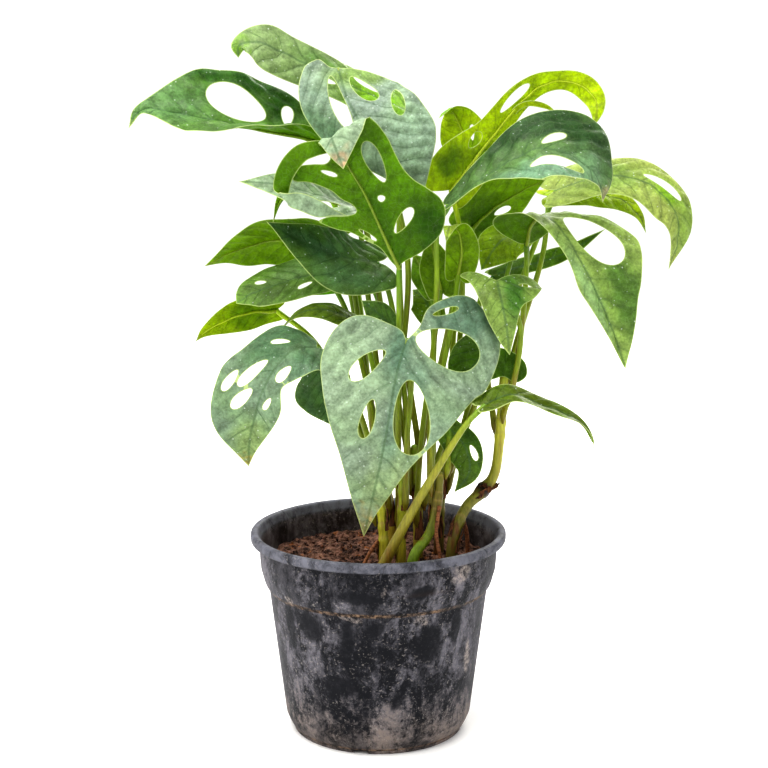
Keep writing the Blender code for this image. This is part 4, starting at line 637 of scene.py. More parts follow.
        (62, 26, 350)], midrib=[(70, 35, 374), (86, 34, 389), (104, 32, 400), (123, 29, 409)],
        face=[(0, 0.7, 0.7), (0, 0.8, 0.6)], left=22, right=32, lobe=10, widest=24,
        holes=[(18, 6, 32, 9, 6)]),
    "leaf_mid_hang": dict(cane="cane_rear", height=172, bearing=30, stalk=[(68, 24, 240), (90, 20, 320)],
        midrib=[(102, 11, 371), (88, 7, 365), (75, 5, 345)], face=[(0, -0.5, 0.85), (0, -1, 0.2)], left=19,
        right=17, lobe=8, widest=14),
    "leaf_small_tip": dict(cane="cane_fork", height=172, bearing=125, stalk=[(41, -16, 240),
        (54, -10, 310)], midrib=[(58, -10, 344), (60, -14, 362), (57, -18, 377), (51, -26, 380),
        (48, -32, 369)], face=[(0, 1, 0.2), (0, 0.9, 0.4), (0, -0.8, 0.5)], left=13, right=12, lobe=6,
        widest=18),
    "leaf_mid_dark": dict(cane="cane_middle", height=152, bearing=260, stalk=[(32, -6, 220), (42, 0, 300)],
        midrib=[(46, 6, 330), (42, 12, 350), (38, 14, 371)], face=[(0, 1, 0.2), (0, 1, 0.2)], left=13,
        right=13, lobe=6, widest=16),
    "leaf_slim": dict(cane="cane_rear", height=160, bearing=200, stalk=[(40, 22, 220), (42, 24, 290)],
        midrib=[(41, 24, 328), (34, 30, 341), (26, 34, 354)], face=[(0, 1, 0.3), (0, 1, 0.3)], left=12,
        right=11, lobe=6, widest=14),
    "leaf_inner_left": dict(cane="cane_far", height=148, bearing=330, stalk=[(15, 5, 200), (13, -5, 270)],
        midrib=[(10, -14, 306), (0, -20, 317), (-12, -24, 327)], face=[(0, -0.8, 0.6), (0, -0.8, 0.6)],
        left=14, right=12, lobe=6, widest=10),
    "leaf_inner_back": dict(cane="cane_rear", height=148, bearing=120, stalk=[(42, 36, 220), (42, 40, 280)],
        midrib=[(41, 42, 306), (35, 46, 318), (26, 50, 325)], face=[(0, -0.8, 0.6), (0, -0.8, 0.6)],
        left=13, right=13, lobe=6, widest=12),
    "leaf_left_glow": dict(cane="cane_far", height=202, bearing=255, stalk=[(-6, 14, 250), (-18, 22, 330),
        (-26, 18, 376)], midrib=[(-34, 12, 400), (-53, 16, 407), (-66, 18, 404), (-73, 18, 394),
        (-77, 16, 378)], face=[(0, 0.5, 0.85), (-0.3, 0.6, 0.8), (-0.9, 0.4, 0.2)], left=7, right=9, lobe=4,
        widest=20),
    "leaf_left_tip": dict(cane="cane_far", height=152, bearing=200, stalk=[(-12, 14, 220), (-44, 28, 284)],
        midrib=[(-76, 30, 313), (-98, 25, 311), (-115, 20, 305), (-128, 16, 298), (-135, 14, 291)],
        face=[(0, 0.8, 0.6), (0, 0.9, 0.4), (0, 0.9, 0.4)], left=15, right=15, lobe=6, widest=22,
        curl=(14, 14)),
}

# Each aerial root: the cane that it leaves, the height and the bearing there, and its line
ROOTS = {
    "root_left": dict(cane="cane_left", height=150, bearing=200, radii=(1.6, 1.2),
                      line=[(-7, -33, 141), (-12, -38, 130), (-12, -38, 121), (-12, -38, 112)]),
    "root_middle": dict(cane="cane_fork", height=178, bearing=290, radii=(1.5, 1.2),
                        line=[(42, -43, 160), (45, -46, 142), (46, -46, 126), (46, -46, 112)]),
    "root_right": dict(cane="cane_right", height=160, bearing=60, radii=(1.9, 1.5),
                       line=[(66, 2, 148), (67, 4, 136), (67, 4, 124), (67, 4, 110)]),
}
# How much thicker a cane is at a joint, and how many points its rings have
NODE_SWELL = 1.1
CANE_SIDES = 28
CANE_STEP = 1.2
# Stems reach this far below the level of the soil, which hides their ends
SUNK = 8.0


def smooth_line(points, samples=10):
    """A smooth curve through the points: on each stretch a cubic that looks one point to each side."""
    p = np.asarray(points, float)
    p = np.vstack([2 * p[0] - p[1], p, 2 * p[-1] - p[-2]])
    u = np.arange(samples)[:, None] / samples
    line = []
    for i in range(1, len(p) - 2):
        a, b, c, d = p[i - 1:i + 3]
        line.append(b + 0.5 * u * (c - a + u * (2 * a - 5 * b + 4 * c - d + u * (3 * (b - c) + d - a))))
    line.append(p[-2:-1])
    return np.vstack(line)


def lengths_of(line):
    """The length along the line at each of its points."""
    return np.concatenate([[0.0], np.cumsum(np.linalg.norm(np.diff(line, axis=0), axis=1))])


def spaced(line, step):
    """The line again, with about one point for each step of its length."""
    lengths = lengths_of(line)
    wanted = np.linspace(0, lengths[-1], max(2, int(round(lengths[-1] / step)) + 1))
    return np.stack([np.interp(wanted, lengths, line[:, i]) for i in range(line.shape[1])], -1)


def unit(vectors):
    """The vectors with length one: each is divided by its length."""
    return vectors / np.maximum(np.linalg.norm(vectors, axis=-1, keepdims=True), 1e-12)


def carried(centres, radii, sides):
    """A ring carried along a path: point (i, j) is centre_i + r_ij (cos a_j side_i + sin a_j other_i).
    Each side is the last one made square to the path, so the rings don't twist. Both ends are closed
    by a point. Returns the points, the faces, and each point's share of the way."""
    centres = np.asarray(centres, float)
    ahead = unit(np.gradient(centres, axis=0))
    side = np.zeros_like(centres)
    last = np.cross(ahead[0], (0.3, 1.0, 0.2))
    for i in range(len(centres)):
        last = unit(last - ahead[i] * np.dot(last, ahead[i]))
        side[i] = last
    other = np.cross(ahead, side)
    angle = turns(sides)[None, :, None]
    radii = np.broadcast_to(np.asarray(radii, float).reshape(len(centres), -1), (len(centres), sides))
    grid = centres[:, None] + radii[..., None] * (np.cos(angle) * side[:, None]
                                                  + np.sin(angle) * other[:, None])
    points, faces = closed_grid(grid, centres[:1] - ahead[:1] * radii[0, 0] * 0.4,
                                centres[-1:] + ahead[-1:] * radii[-1, 0] * 0.4)
    return points, faces, np.append(np.repeat(np.linspace(0, 1, len(centres)), sides), [0, 1])


def cane_at(name, height):
    """The middle and the radius of a cane at a height."""
    cane = CANES[name]
    line = smooth_line(cane["line"])
    middle = np.array([*(np.interp(height, line[:, 2], line[:, i]) for i in range(2)), height])
    share = np.interp(height, (SOIL_LEVEL, line[-1, 2]), (0, 1))
    return middle, cane["radii"][0] + share * (cane["radii"][1] - cane["radii"][0])


def beside(name, height, bearing, radius):
    """A cane's middle at a height, and the step from there to a stalk of this radius beside it."""
    way = np.array([math.cos(math.radians(bearing)), math.sin(math.radians(bearing)), 0.0])
    middle, thick = cane_at(name, height)
    return middle, way * (thick * NODE_SWELL + GAP + radius)


def blended(codes, shares, where):
    """Colours read along a row of hex colours that stand at these shares."""
    parts = np.array([linear(code)[:3] for code in codes])
    mixed = np.stack([np.interp(where, shares, parts[:, i]) for i in range(3)], -1)
    return np.column_stack([mixed, np.ones(len(mixed))])


def toward(colours, code, shares):
    """Each colour c moved towards the hex colour d by its share: c + (d - c) share."""
    return colours + (np.array(linear(code)) - colours) * np.asarray(shares)[..., None]


def store(mesh, name, values):
    """An attribute of the mesh's points: a colour each if there are four numbers, else one number."""
    values = np.asarray(values, np.float32)
    kind, key = ("FLOAT_COLOR", "color") if values.ndim == 2 else ("FLOAT", "value")
    mesh.attributes.new(name, kind, "POINT").data.foreach_set(key, values.ravel())


# Living stem skin: fresh green to olive with fine lengthwise fibres, waxy
skin, tree, surface, where = new_material("green_stem_skin")
own = add(tree, "Attribute", attribute_name="colour")
stretched = add(tree, "Mapping", where, Scale=(1.0, 1.0, 0.12))
fibres = add(tree, "TexNoise", stretched, Scale=700.0, Detail=4.0, Roughness=0.6)
streaks = add(tree, "MapRange", fibres, 0.3, 0.7, 0.72, 1.25)
streaked = add(tree, "Mix", 1.0, own, streaks, data_type="RGBA", blend_type="MULTIPLY")
ribbed = add(tree, "Bump", Strength=0.3, Distance=0.0003, Height=fibres)
feed(surface, {"Base Color": streaked, "Roughness": 0.42, "Normal": ribbed})

CANE_COLOURS = {
    "cane_left": ("#7c5a2a", "#aaa338", "#b4b534", "#9bb034"),
    "cane_front": ("#7f6a2a", "#a49e34", "#a2aa34", "#92ac34"),
    "cane_fork": ("#6c8a22", "#7f9a24", "#6f6420", "#7a7a26"),
    "cane_middle": ("#7a6228", "#9a9032", "#9ca234", "#92ac34"),
    "cane_rear": ("#5c4420", "#706a26", "#80862c", "#889a30"),
    "cane_far": ("#7e6230", "#a89638", "#a89c38", "#96a434"),
    "cane_right": ("#6a5a28", "#7c7a2c", "#b4b240", "#b6be44"),
}
# A shed shoot leaves a knob of dead brown scales round the cane, at this height
KNOBS = {"cane_right": 181.0}
for name, cane in CANES.items():
    heights = np.arange(SOIL_LEVEL - SUNK, cane["line"][-1][2] + 0.5, CANE_STEP)
    centres = np.array([cane_at(name, h)[0] for h in heights])
    radii = np.array([cane_at(name, h)[1] for h in heights])
    joined = [row for row in [*LEAVES.values(), *ROOTS.values()] if row.get("cane") == name]
    swell = np.zeros(len(heights))
    scar = np.zeros(len(heights))
    for joint in sorted(row["height"] for row in joined):
        swell += 0.16 * np.exp(-((heights - joint) / 3.0) ** 2)
        scar += np.exp(-((heights - joint - 3.2) / 0.7) ** 2)
    scar = np.clip(scar, 0, 1)
    swell = np.minimum(swell, 0.2) - 0.05 * scar
    knob = np.exp(-((heights - KNOBS.get(name, -99.0)) / 3.6) ** 2)
    angle = turns(CANE_SIDES)
    flutes = 0.03 * np.cos(5 * angle) + 0.02 * np.sin(heights[:, None] / 7 + 2 * angle)
    scales = 0.18 * np.sin(3 * angle + 1.0) + 0.12 * np.sin(heights[:, None] * 1.9 + 5 * angle)
    wide = radii[:, None] * (1 + swell[:, None] + flutes + knob[:, None] * (0.42 + scales))
    wide[-1] *= 0.55
    wide[-2] *= 0.9
    points, faces, way = carried(centres, wide, CANE_SIDES)
    stem = make_piece("stem_" + name[5:], points, faces, [skin], 60.0)
    # Brown blotches, the dead scales of the knob, and a dry pale ring above each joint
    blotch = np.clip(ripple(points * (1, 1, 0.35), 7.0, 21) - 0.55, 0, 1) * 1.3
    dead, rings = (np.append(np.repeat(share, CANE_SIDES), [0, 0])
                   for share in (np.minimum(1.15 * knob, 1), scar))
    colours = toward(blended(CANE_COLOURS[name], (0, 0.3, 0.7, 1), way), "#7b4a22", blotch * 0.6)
    store(stem.data, "colour", toward(toward(colours, "#2f1a16", dead), "#a08a52", rings * 0.55))
    enter(stem, name)


# The aerial roots: brown corky roots that leave the canes low down and grow into the soil, with a
# rough bark and a slight knobbly twist.
# Dry root bark: cinnamon brown with darker cracks across it, matte
ROOT_SIDES = 16
root_bark, tree, surface, where = new_material("corky_root_bark")
squashed = add(tree, "Mapping", where, Scale=(1.0, 1.0, 2.2))
cracks = add(tree, "TexNoise", squashed, Scale=420.0, Detail=6.0, Roughness=0.65)
tone = add(tree, "MapRange", cracks, 0.34, 0.66)
barky = add(tree, "Mix", tone, "#52301e", "#a57048", data_type="RGBA")
corky = add(tree, "Bump", Strength=0.6, Distance=0.0005, Height=cracks)
feed(surface, {"Base Color": barky, "Roughness": 0.75, "Normal": corky})

for name, root in ROOTS.items():
    middle, away = beside(root["cane"], root["height"], root["bearing"], root["radii"][0])
    centres = spaced(smooth_line([middle + away * 0.8, *root["line"][:-1]]), 1.0)
    centres = centres[centres[:, 2] > SOIL_LEVEL - 6]
    radii = np.linspace(*root["radii"], len(centres)) * (1 + 0.12 * ripple(centres, 6.0, 31))
    wide = radii[:, None] * (1 + 0.07 * np.cos(3 * turns(ROOT_SIDES) + 1.0))
    points, faces, way = carried(centres, wide, ROOT_SIDES)
    enter(make_piece("aerial_" + name, points, faces, [root_bark], 60.0), name)


# The husks: papery brown remains of the sheaths that once wrapped young leaves. They cling round the
# canes low down, and a ragged bunch of them is left where a shoot was shed.
# Dry sheath: chestnut and fawn in lengthwise fibres, nearly black where it is rotten, matte
papery, tree, surface, where = new_material("dry_papery_sheath")
drawn = add(tree, "Mapping", where, Scale=(1.0, 1.0, 0.18))
fibres = add(tree, "TexNoise", drawn, Scale=620.0, Detail=5.0, Roughness=0.65)
tone = add(tree, "MapRange", fibres, 0.36, 0.64)
husky = add(tree, "Mix", tone, "#2e1811", "#8d5f3c", data_type="RGBA")
crinkled = add(tree, "Bump", Strength=0.7, Distance=0.0004, Height=fibres)
feed(surface, {"Base Color": husky, "Roughness": 0.8, "Normal": crinkled})

HUSK_SHEET = 0.35
HUSK_ROWS = 12
HUSK_SPAN = 9
# Each husk: the cane, the height and the bearing of its foot, its length, half the turn that it wraps
# in degrees, and how far its end stands off the cane
HUSKS = [
    ("cane_right", 176, -80, 9, 62, 3.2), ("cane_right", 178, 20, 8, 55, 3.6),
    ("cane_right", 175, 190, 8, 50, 2.6), ("cane_right", 181, -120, 6, 40, 4.2),
    ("cane_right", 138, -30, 20, 34, 1.4), ("cane_right", 150, -150, 12, 30, 1.0),
    ("cane_middle", 142, -80, 24, 48, 1.2), ("cane_middle", 168, -110, 16, 40, 2.0),
    ("cane_front", 150, -20, 16, 34, 1.6), ("cane_front", 172, -60, 14, 44, 1.6),
    ("cane_front", 134, 180, 12, 30, 1.0), ("cane_left", 158, -30, 14, 36, 1.4),
    ("cane_rear", 140, -100, 22, 46, 1.4), ("cane_rear", 170, -70, 18, 40, 1.8),
    ("cane_far", 150, -60, 20, 46, 1.2), ("cane_fork", 166, 160, 12, 36, 1.6),
    ("cane_left", 136, 150, 12, 40, 1.2), ("cane_far", 172, -90, 16, 40, 1.6),
]
husk_points = []
husk_faces = []
rise = np.linspace(0, 1, HUSK_ROWS)[:, None]
span = np.concatenate([np.linspace(-1, 1, HUSK_SPAN), np.linspace(1, -1, HUSK_SPAN)])[None, :]
round_count = 2 * HUSK_SPAN
outer = np.arange(round_count)[None, :] < HUSK_SPAN
for number, (name, foot_height, bearing, length, wrap, stand) in enumerate(HUSKS):
    crumpled = np.column_stack([span[0] * 6, np.full(round_count, 9.0 * number)])
    ragged = 1 + 0.22 * ripple(crumpled, 4.0, 400 + number)
    height = foot_height + length * rise * (1 - 0.35 * np.abs(span) ** 1.5) * ragged
    middle, thick = cane_at(name, height.ravel())
    turn = np.radians(bearing + wrap * span * (1 - 0.45 * rise ** 2))
    reach = thick.reshape(height.shape) * 1.08 + 0.3 + HUSK_SHEET * outer + stand * rise ** 1.8
    reach = reach * (1 + 0.05 * np.sin(5 * span + 7 * rise + number))
    away = np.stack([reach * np.cos(turn), reach * np.sin(turn), np.zeros_like(height)], -1)
    start = number * HUSK_ROWS * round_count
    top = start + (HUSK_ROWS - 1) * round_count
    husk_points.append((middle.T.reshape(away.shape) + away).reshape(-1, 3))
    husk_faces += (ring_faces(HUSK_ROWS, round_count) + start).tolist()
    husk_faces += [list(range(start + round_count - 1, start - 1, -1)), list(range(top, top + round_count))]
enter(make_piece("stem_husks", np.vstack(husk_points), husk_faces, [papery], 50.0))


# The leaves: each is one growth of a stalk, a midrib that stands out below the blade, and a blade with
# holes between its side veins and a fine pale margin. The stalk clasps the cane at its foot.
# The blade's thickness, and the space between its points along the edges and inside them
BLADE = 0.5
EDGE_STEP = 2.0
INNER_STEP = 2.3
# The midrib's radius at the stalk, and the share of the blade's length that it runs along
RIB_RADIUS = 1.5
RIB_REACH = 0.9
RIB_SIDES = 10
STALK_FOOT_RADIUS = 2.6
STALK_TOP_RADIUS = 1.9
STALK_SIDES = 16
# Side veins stand this far apart, and further by this share of the blade's length. Between them the
# blade bulges by a share of their space
VEIN_SPACING = 5.0
VEIN_SPREAD = 0.085
QUILT_DEPTH = 0.10
WAVE_DEPTH = 0.60
WAVE_LENGTH = 17.0
GROOVE_DEPTH = 0.55
# Parts without a margin or a midrib lie this far from both, so neither is drawn on them
FAR = 50.0

# How each leaf looks: its upper side, its under side, its tip, and how far from the tip it is dry. The
# side colours carry painted light as well as the leaf's own tone: leaves deep in the plant are darker as
# painted shade, and backlit ones brighter and yellower as painted glow. Then its patches: upper side (0) or
# under side (1), the place along and across, the half length and half width in millimetres, the colour
# and its strength. Besides real tone, some patches are painted shade where a part turns away from the
# light, or painted sheen where it faces it
LEAF_COLOURS_AND_PAINTED_LIGHT = {
    "leaf_front": ("#8e9f8a", "#6f8f40", "#b9a468", 26, (0, 108, 8, 26, 18, "#98ab7a", 0.75),
        (0, -34, 34, 26, 28, "#627e6c", 0.8), (0, 8, -3, 26, 9, "#587a64", 0.75),
        (0, 62, 4, 40, 7, "#6f8a78", 0.6), (0, 30, 14, 22, 10, "#6c8874", 0.6),
        (0, 42, -32, 30, 18, "#a3b89a", 0.55), (0, 60, 38, 24, 14, "#9db698", 0.5)),
    "leaf_upright": ("#9bae94", "#537a02", "#d0a884", 13, (1, 16, 34, 26, 20, "#2c5605", 0.85),
        (1, 62, -40, 40, 22, "#6c9c14", 0.8), (1, 72, 20, 26, 18, "#628f08", 0.6),
        (1, 30, 5, 34, 7, "#3f6a05", 0.6)),
    # leaf_far_left: the dark patches on the band over the big hole and near the base are painted shade,
    # where the band turns away from the light
    "leaf_far_left": ("#527532", "#5f8c0e", "#a9b56a", 8, (0, 52, -42, 34, 12, "#265214", 0.95),
        (0, 96, -41, 26, 9, "#2c5a18", 0.9), (0, 32, -26, 12, 24, "#265214", 0.9),
        (0, 114, -6, 34, 26, "#678a58", 0.85), (0, 28, 8, 26, 14, "#5f8f22", 0.8)),
    "leaf_crown_left": ("#86996c", "#7d9c34", "#7fae18", 16, (0, 24, 0, 30, 30, "#7fae14", 0.9),
        (0, 70, -6, 20, 8, "#4f7a2c", 0.6)),
    "leaf_crown_centre": ("#8c9c8e", "#7a983e", "#9ab890", 4, (0, 6, 20, 12, 32, "#8aa84a", 0.7),
        (0, 50, -26, 34, 16, "#5f8060", 0.7), (0, 80, 24, 26, 22, "#9db69c", 0.6)),
    "leaf_left_mid": ("#90a388", "#6c8e3c", "#9ab46a", 8),
    "leaf_left_dark": ("#567334", "#3f7a1a", "#4f7a4a", 4, (0, 60, 0, 40, 10, "#2f4f38", 0.8),
        (0, 26, 16, 30, 12, "#5c7f5c", 0.6), (0, 30, -16, 30, 12, "#5c7f5c", 0.6)),
    "leaf_left_far": ("#5f8f3c", "#7ca005", "#8aae14", 12, (1, 25, 10, 24, 12, "#3f6a08", 0.7)),
    "leaf_left_low": ("#708e44", "#67a512", "#6f9a24", 6, (0, 40, 4, 22, 16, "#4c5f38", 0.5),
        (0, 20, -10, 20, 12, "#86a272", 0.6)),
    "leaf_left_tip": ("#7aa01c", "#b0ca05", "#a8b820", 10, (1, 20, 0, 20, 16, "#5f8a08", 0.7)),
    "leaf_left_inner": ("#4f8f1c", "#64a50f", "#76a820", 4),
    "leaf_left_back": ("#4a7424", "#5f9a1e", "#76a840", 4),
    "leaf_arching": ("#6b7e28", "#4f6a14", "#86b25a", 4),
    "leaf_low_left": ("#7b8f79", "#6c8c40", "#b98f3a", 12, (0, 22, -16, 28, 20, "#4a6c4c", 0.8),
        (0, 20, 14, 24, 12, "#55785a", 0.6), (0, 100, 2, 20, 16, "#93a86a", 0.7)),
    "leaf_low_back": ("#4c6a46", "#3c6a22", "#4c6a46", 2),
    "leaf_right_small": ("#456510", "#2f6a12", "#456510", 2),
    "leaf_right_hang": ("#8aa058", "#56802e", "#a8b85a", 8, (0, 15, 10, 26, 9, "#44742a", 0.85)),
    "leaf_right_narrow": ("#5e6f18", "#6a8f20", "#7a8a2a", 10),
    "leaf_low_curl": ("#5e7a26", "#4f7a20", "#4f7a28", 4, (0, 20, 8, 16, 8, "#37591c", 0.7)),
    "leaf_right_dark": ("#5c784a", "#6a9034", "#c9b48f", 12, (0, 70, 30, 70, 24, "#2b4a24", 0.95),
        (0, 62, -24, 74, 13, "#789a80", 0.85), (0, 116, -4, 18, 22, "#7f9f7c", 0.6)),
    # leaf_right_top: its bright yellow under side and its brightest patch are painted glow of the light
    # behind it
    "leaf_right_top": ("#7ea044", "#b8ce05", "#b8c860", 8, (1, 14, -14, 16, 12, "#587c08", 0.85),
        (1, 32, 6, 12, 12, "#6a8c0a", 0.8), (1, 92, -8, 30, 12, "#b6d200", 0.8)),
    "leaf_back_top": ("#7fae20", "#b8ca05", "#a8c820", 4, (1, 20, 6, 16, 12, "#7aa008", 0.7)),
    "leaf_right_far": ("#a3b062", "#74963a", "#a8ac50", 12, (0, 84, 6, 14, 9, "#86b814", 0.8),
        (0, 40, 0, 30, 16, "#7fa04c", 0.6), (0, 112, 12, 22, 16, "#82a04a", 0.6)),
    # leaf_right_droop: its dark patch is painted shade on the half that turns away, and its narrow pale
    # patch a painted sheen
    "leaf_right_droop": ("#95ab5f", "#496b04", "#86a844", 6, (0, 120, 20, 48, 16, "#4c7030", 0.8),
        (0, 104, -6, 42, 7, "#9cbe8c", 0.55), (0, 8, 60, 26, 24, "#92b84c", 0.6)),
    "leaf_right_edge": ("#4e6c18", "#3a6a1a", "#4e6c18", 4),
    "leaf_right_mid": ("#b5ca0a", "#9ab80c", "#a8c050", 6, (0, 20, 0, 20, 10, "#5f8a14", 0.6)),
    "leaf_under_right": ("#5f9a20", "#84a605", "#5f9a20", 4, (1, 10, 0, 18, 22, "#2f5608", 0.7),
        (1, 40, 14, 16, 12, "#8ab00c", 0.7)),
    "leaf_mid_hang": ("#7f970c", "#5a8a0c", "#8aa830", 4),
    "leaf_small_tip": ("#cce064", "#7d9e06", "#cfe08a", 6),
    "leaf_mid_dark": ("#3a6a10", "#66840c", "#3a7a14", 2),
    "leaf_slim": ("#3f7a14", "#759a2a", "#4f8a14", 2),
    "leaf_inner_left": ("#5c7b3c", "#3a6a24", "#5c7b3c", 2),
    "leaf_inner_back": ("#657b1d", "#4f8a14", "#657b1d", 2),
    "leaf_left_glow": ("#8fc01c", "#8cba0c", "#9cc818", 4),
}

# The colours of a stalk from its foot up, before it takes on the blade's under side
STALK_COLOURS = {
    "leaf_right_narrow": ("#85582a", "#867a2b", "#90962c"),
    "others": ("#766818", "#868f20", "#809a20"),
}


def read_even(values, share):
    """One number, or numbers spaced evenly along the leaf, read at a share of its length."""
    values = np.atleast_1d(np.asarray(values, float))
    return np.interp(share, np.linspace(0, 1, len(values)), values)


def leaf_line(row):
    """The midrib as a smooth line, the lengths along it, its directions and its whole length."""
    line = smooth_line(row["midrib"], 16)
    lengths = lengths_of(line)
    return line, lengths, unit(np.gradient(line, lengths, axis=0)), lengths[-1]


def leaf_margins(row, length):
    """Each half's margin, from the stalk to the tip, as s and the width there, and the largest widths."""
    margins = []
    for width in (row["left"], row["right"]):
        if isinstance(width, (int, float)):
            lobe = row["lobe"]
            widest = row["widest"]
            rest = length - widest
            width = [(-0.6 * lobe, 0.14 * width), (-lobe, 0.42 * width), (-0.5 * lobe, 0.78 * width),
                     (widest, width), (widest + 0.42 * rest, 0.72 * width),
                     (widest + 0.74 * rest, 0.33 * width), (widest + 0.91 * rest, 0.1 * width)]
        margins.append(smooth_line([(0, 0), *width, (length, 0)], 12))
    return margins, [margin[:, 1].max() for margin in margins]


def blade_point(row, rib, widths, s, t):
    """The blade's surface. A point starts on the midrib at s, and leaves it to the leaf's left by t on
    an arc that starts at the fold and turns down by the curl over the half's whole width: across is
    (sin f - sin(f - k t)) / k, rise is (cos(f - k t) - cos f) / k, and k is the curl by the width."""
    line, lengths, directions, length = rib
    share = np.clip(s / length, 0, 1)
    held = np.clip(s, 0, length)
    middle = np.stack([np.interp(held, lengths, line[:, i]) for i in range(3)], -1)
    ahead = unit(np.stack([np.interp(held, lengths, directions[:, i]) for i in range(3)], -1))
    middle = middle + ahead * (s - held)[..., None]
    faces = np.asarray(row["face"], float)
    stations = np.linspace(0, 1, len(faces))
    face = np.stack([np.interp(share, stations, faces[:, i]) for i in range(3)], -1)
    face = unit(face - ahead * np.sum(face * ahead, -1, keepdims=True))
    left = np.cross(face, ahead)
    is_left = t > 0
    fold = np.radians(np.where(is_left, *(read_even(value, share) for value in row.get("fold", (0, 0)))))
    turn = np.radians(np.where(is_left, *(read_even(value, share) for value in row.get("curl", (16, 16)))))
    turn = np.where(np.abs(turn) < 1e-4, 1e-4, turn) / np.where(is_left, *widths)
    reach = np.abs(t)
    across = (np.sin(fold) - np.sin(fold - turn * reach)) / turn
    rise = (np.cos(fold - turn * reach) - np.cos(fold)) / turn
    return middle + (np.sign(t) * across)[..., None] * left + rise[..., None] * face


def blade_place(row, rib, widths, s, t):
    """The point at s and t and the direction out of the upper side there: along crossed with across."""
    point = blade_point(row, rib, widths, s, t)
    along = blade_point(row, rib, widths, s + 0.2, t) - point
    across = blade_point(row, rib, widths, s, t + 0.2) - point
    return point, unit(np.cross(along, across))


def egg(hole):
    """A hole's edge: an oval round its middle line, fuller towards its second end."""
    s0, t0, s1, t1, width = hole
    middle = np.array([(s0 + s1) / 2, (t0 + t1) / 2])
    half = np.array([(s1 - s0) / 2, (t1 - t0) / 2])
    across = unit(np.array([-half[1], half[0]])) * width / 2
    around = math.pi * (np.linalg.norm(half) + width / 2)
    count = max(10, int(round(around / EDGE_STEP)))
    angle = (np.arange(count) + 0.5) * 2 * math.pi / count
    full = 1 + 0.22 * np.cos(angle)
    return middle + np.cos(angle)[:, None] * half + (np.sin(angle) * full)[:, None] * across


def from_loop(points, loops):
    """The distance from each flat point to the nearest side of the loops."""
    nearest = np.full(len(points), 1e9)
    for loop in loops:
        side = np.roll(loop, -1, axis=0) - loop
        away = points[:, None] - loop[None]
        share = np.clip((away * side).sum(-1) / (side * side).sum(-1), 0, 1)
        nearest = np.minimum(nearest, np.linalg.norm(away - share[..., None] * side, axis=-1).min(1))
    return nearest


def cut_pattern(row, margins, length):
    """The flat pattern of the blade with its holes in fine triangles, and each point's distance from
    the margin or the nearest hole."""
    left = spaced(margins[0], EDGE_STEP)
    right = spaced(margins[1], EDGE_STEP) * (1, -1)
    loops = [np.vstack([right[:-1], left[:0:-1]])] + [egg(hole) for hole in row.get("holes", ())]
    edge = np.vstack(loops)
    rib = np.linspace(0, length, int(round(length / INNER_STEP)) + 1)[1:-1]
    rib = np.stack([rib, np.zeros_like(rib)], 1)
    low = edge.min(0)
    high = edge.max(0)
    rows = np.arange(low[1], high[1], INNER_STEP * 0.87)[:, None]
    columns = np.arange(low[0], high[0], INNER_STEP)[None, :]
    shifted = columns + INNER_STEP / 2 * (np.arange(len(rows)) % 2)[:, None]
    inner = np.stack(np.broadcast_arrays(shifted, rows), -1).reshape(-1, 2)
    inner = inner[from_loop(inner, loops) > 0.5 * INNER_STEP]
    inner = inner[(np.abs(inner[:, 1]) > 0.5 * INNER_STEP) | (inner[:, 0] < -1)]
    starts = np.cumsum([0] + [len(loop) for loop in loops])
    rings = [list(range(start, end)) for start, end in zip(starts[:-1], starts[1:])]
    chain = [0, *range(len(edge), len(edge) + len(rib)), int(np.argmax(loops[0][:, 0]))]
    points = [Vector(p) for p in np.vstack([edge, rib, inner])]
    result = delaunay_2d_cdt(points, list(zip(chain[:-1], chain[1:])), rings, 1, 1e-4)
    flat = np.array([tuple(v) for v in result[0]])
    # Only triangles inside the margin and in no hole are kept
    kept = np.array([face for face, source in zip(result[2], result[5]) if set(source) == {0}])
    used = np.unique(kept)
    number = np.full(len(flat), -1)
    number[used] = np.arange(len(used))
    return flat[used], number[kept], from_loop(flat[used], loops)


def rim_sides(triangles):
    """The sides of triangles that have no neighbour, each in the order of its triangle."""
    sides = np.vstack([triangles[:, [0, 1]], triangles[:, [1, 2]], triangles[:, [2, 0]]])
    key = sides @ (1000003, 1)
    back = sides @ (1, 1000003)
    return sides[~np.isin(key, back)]


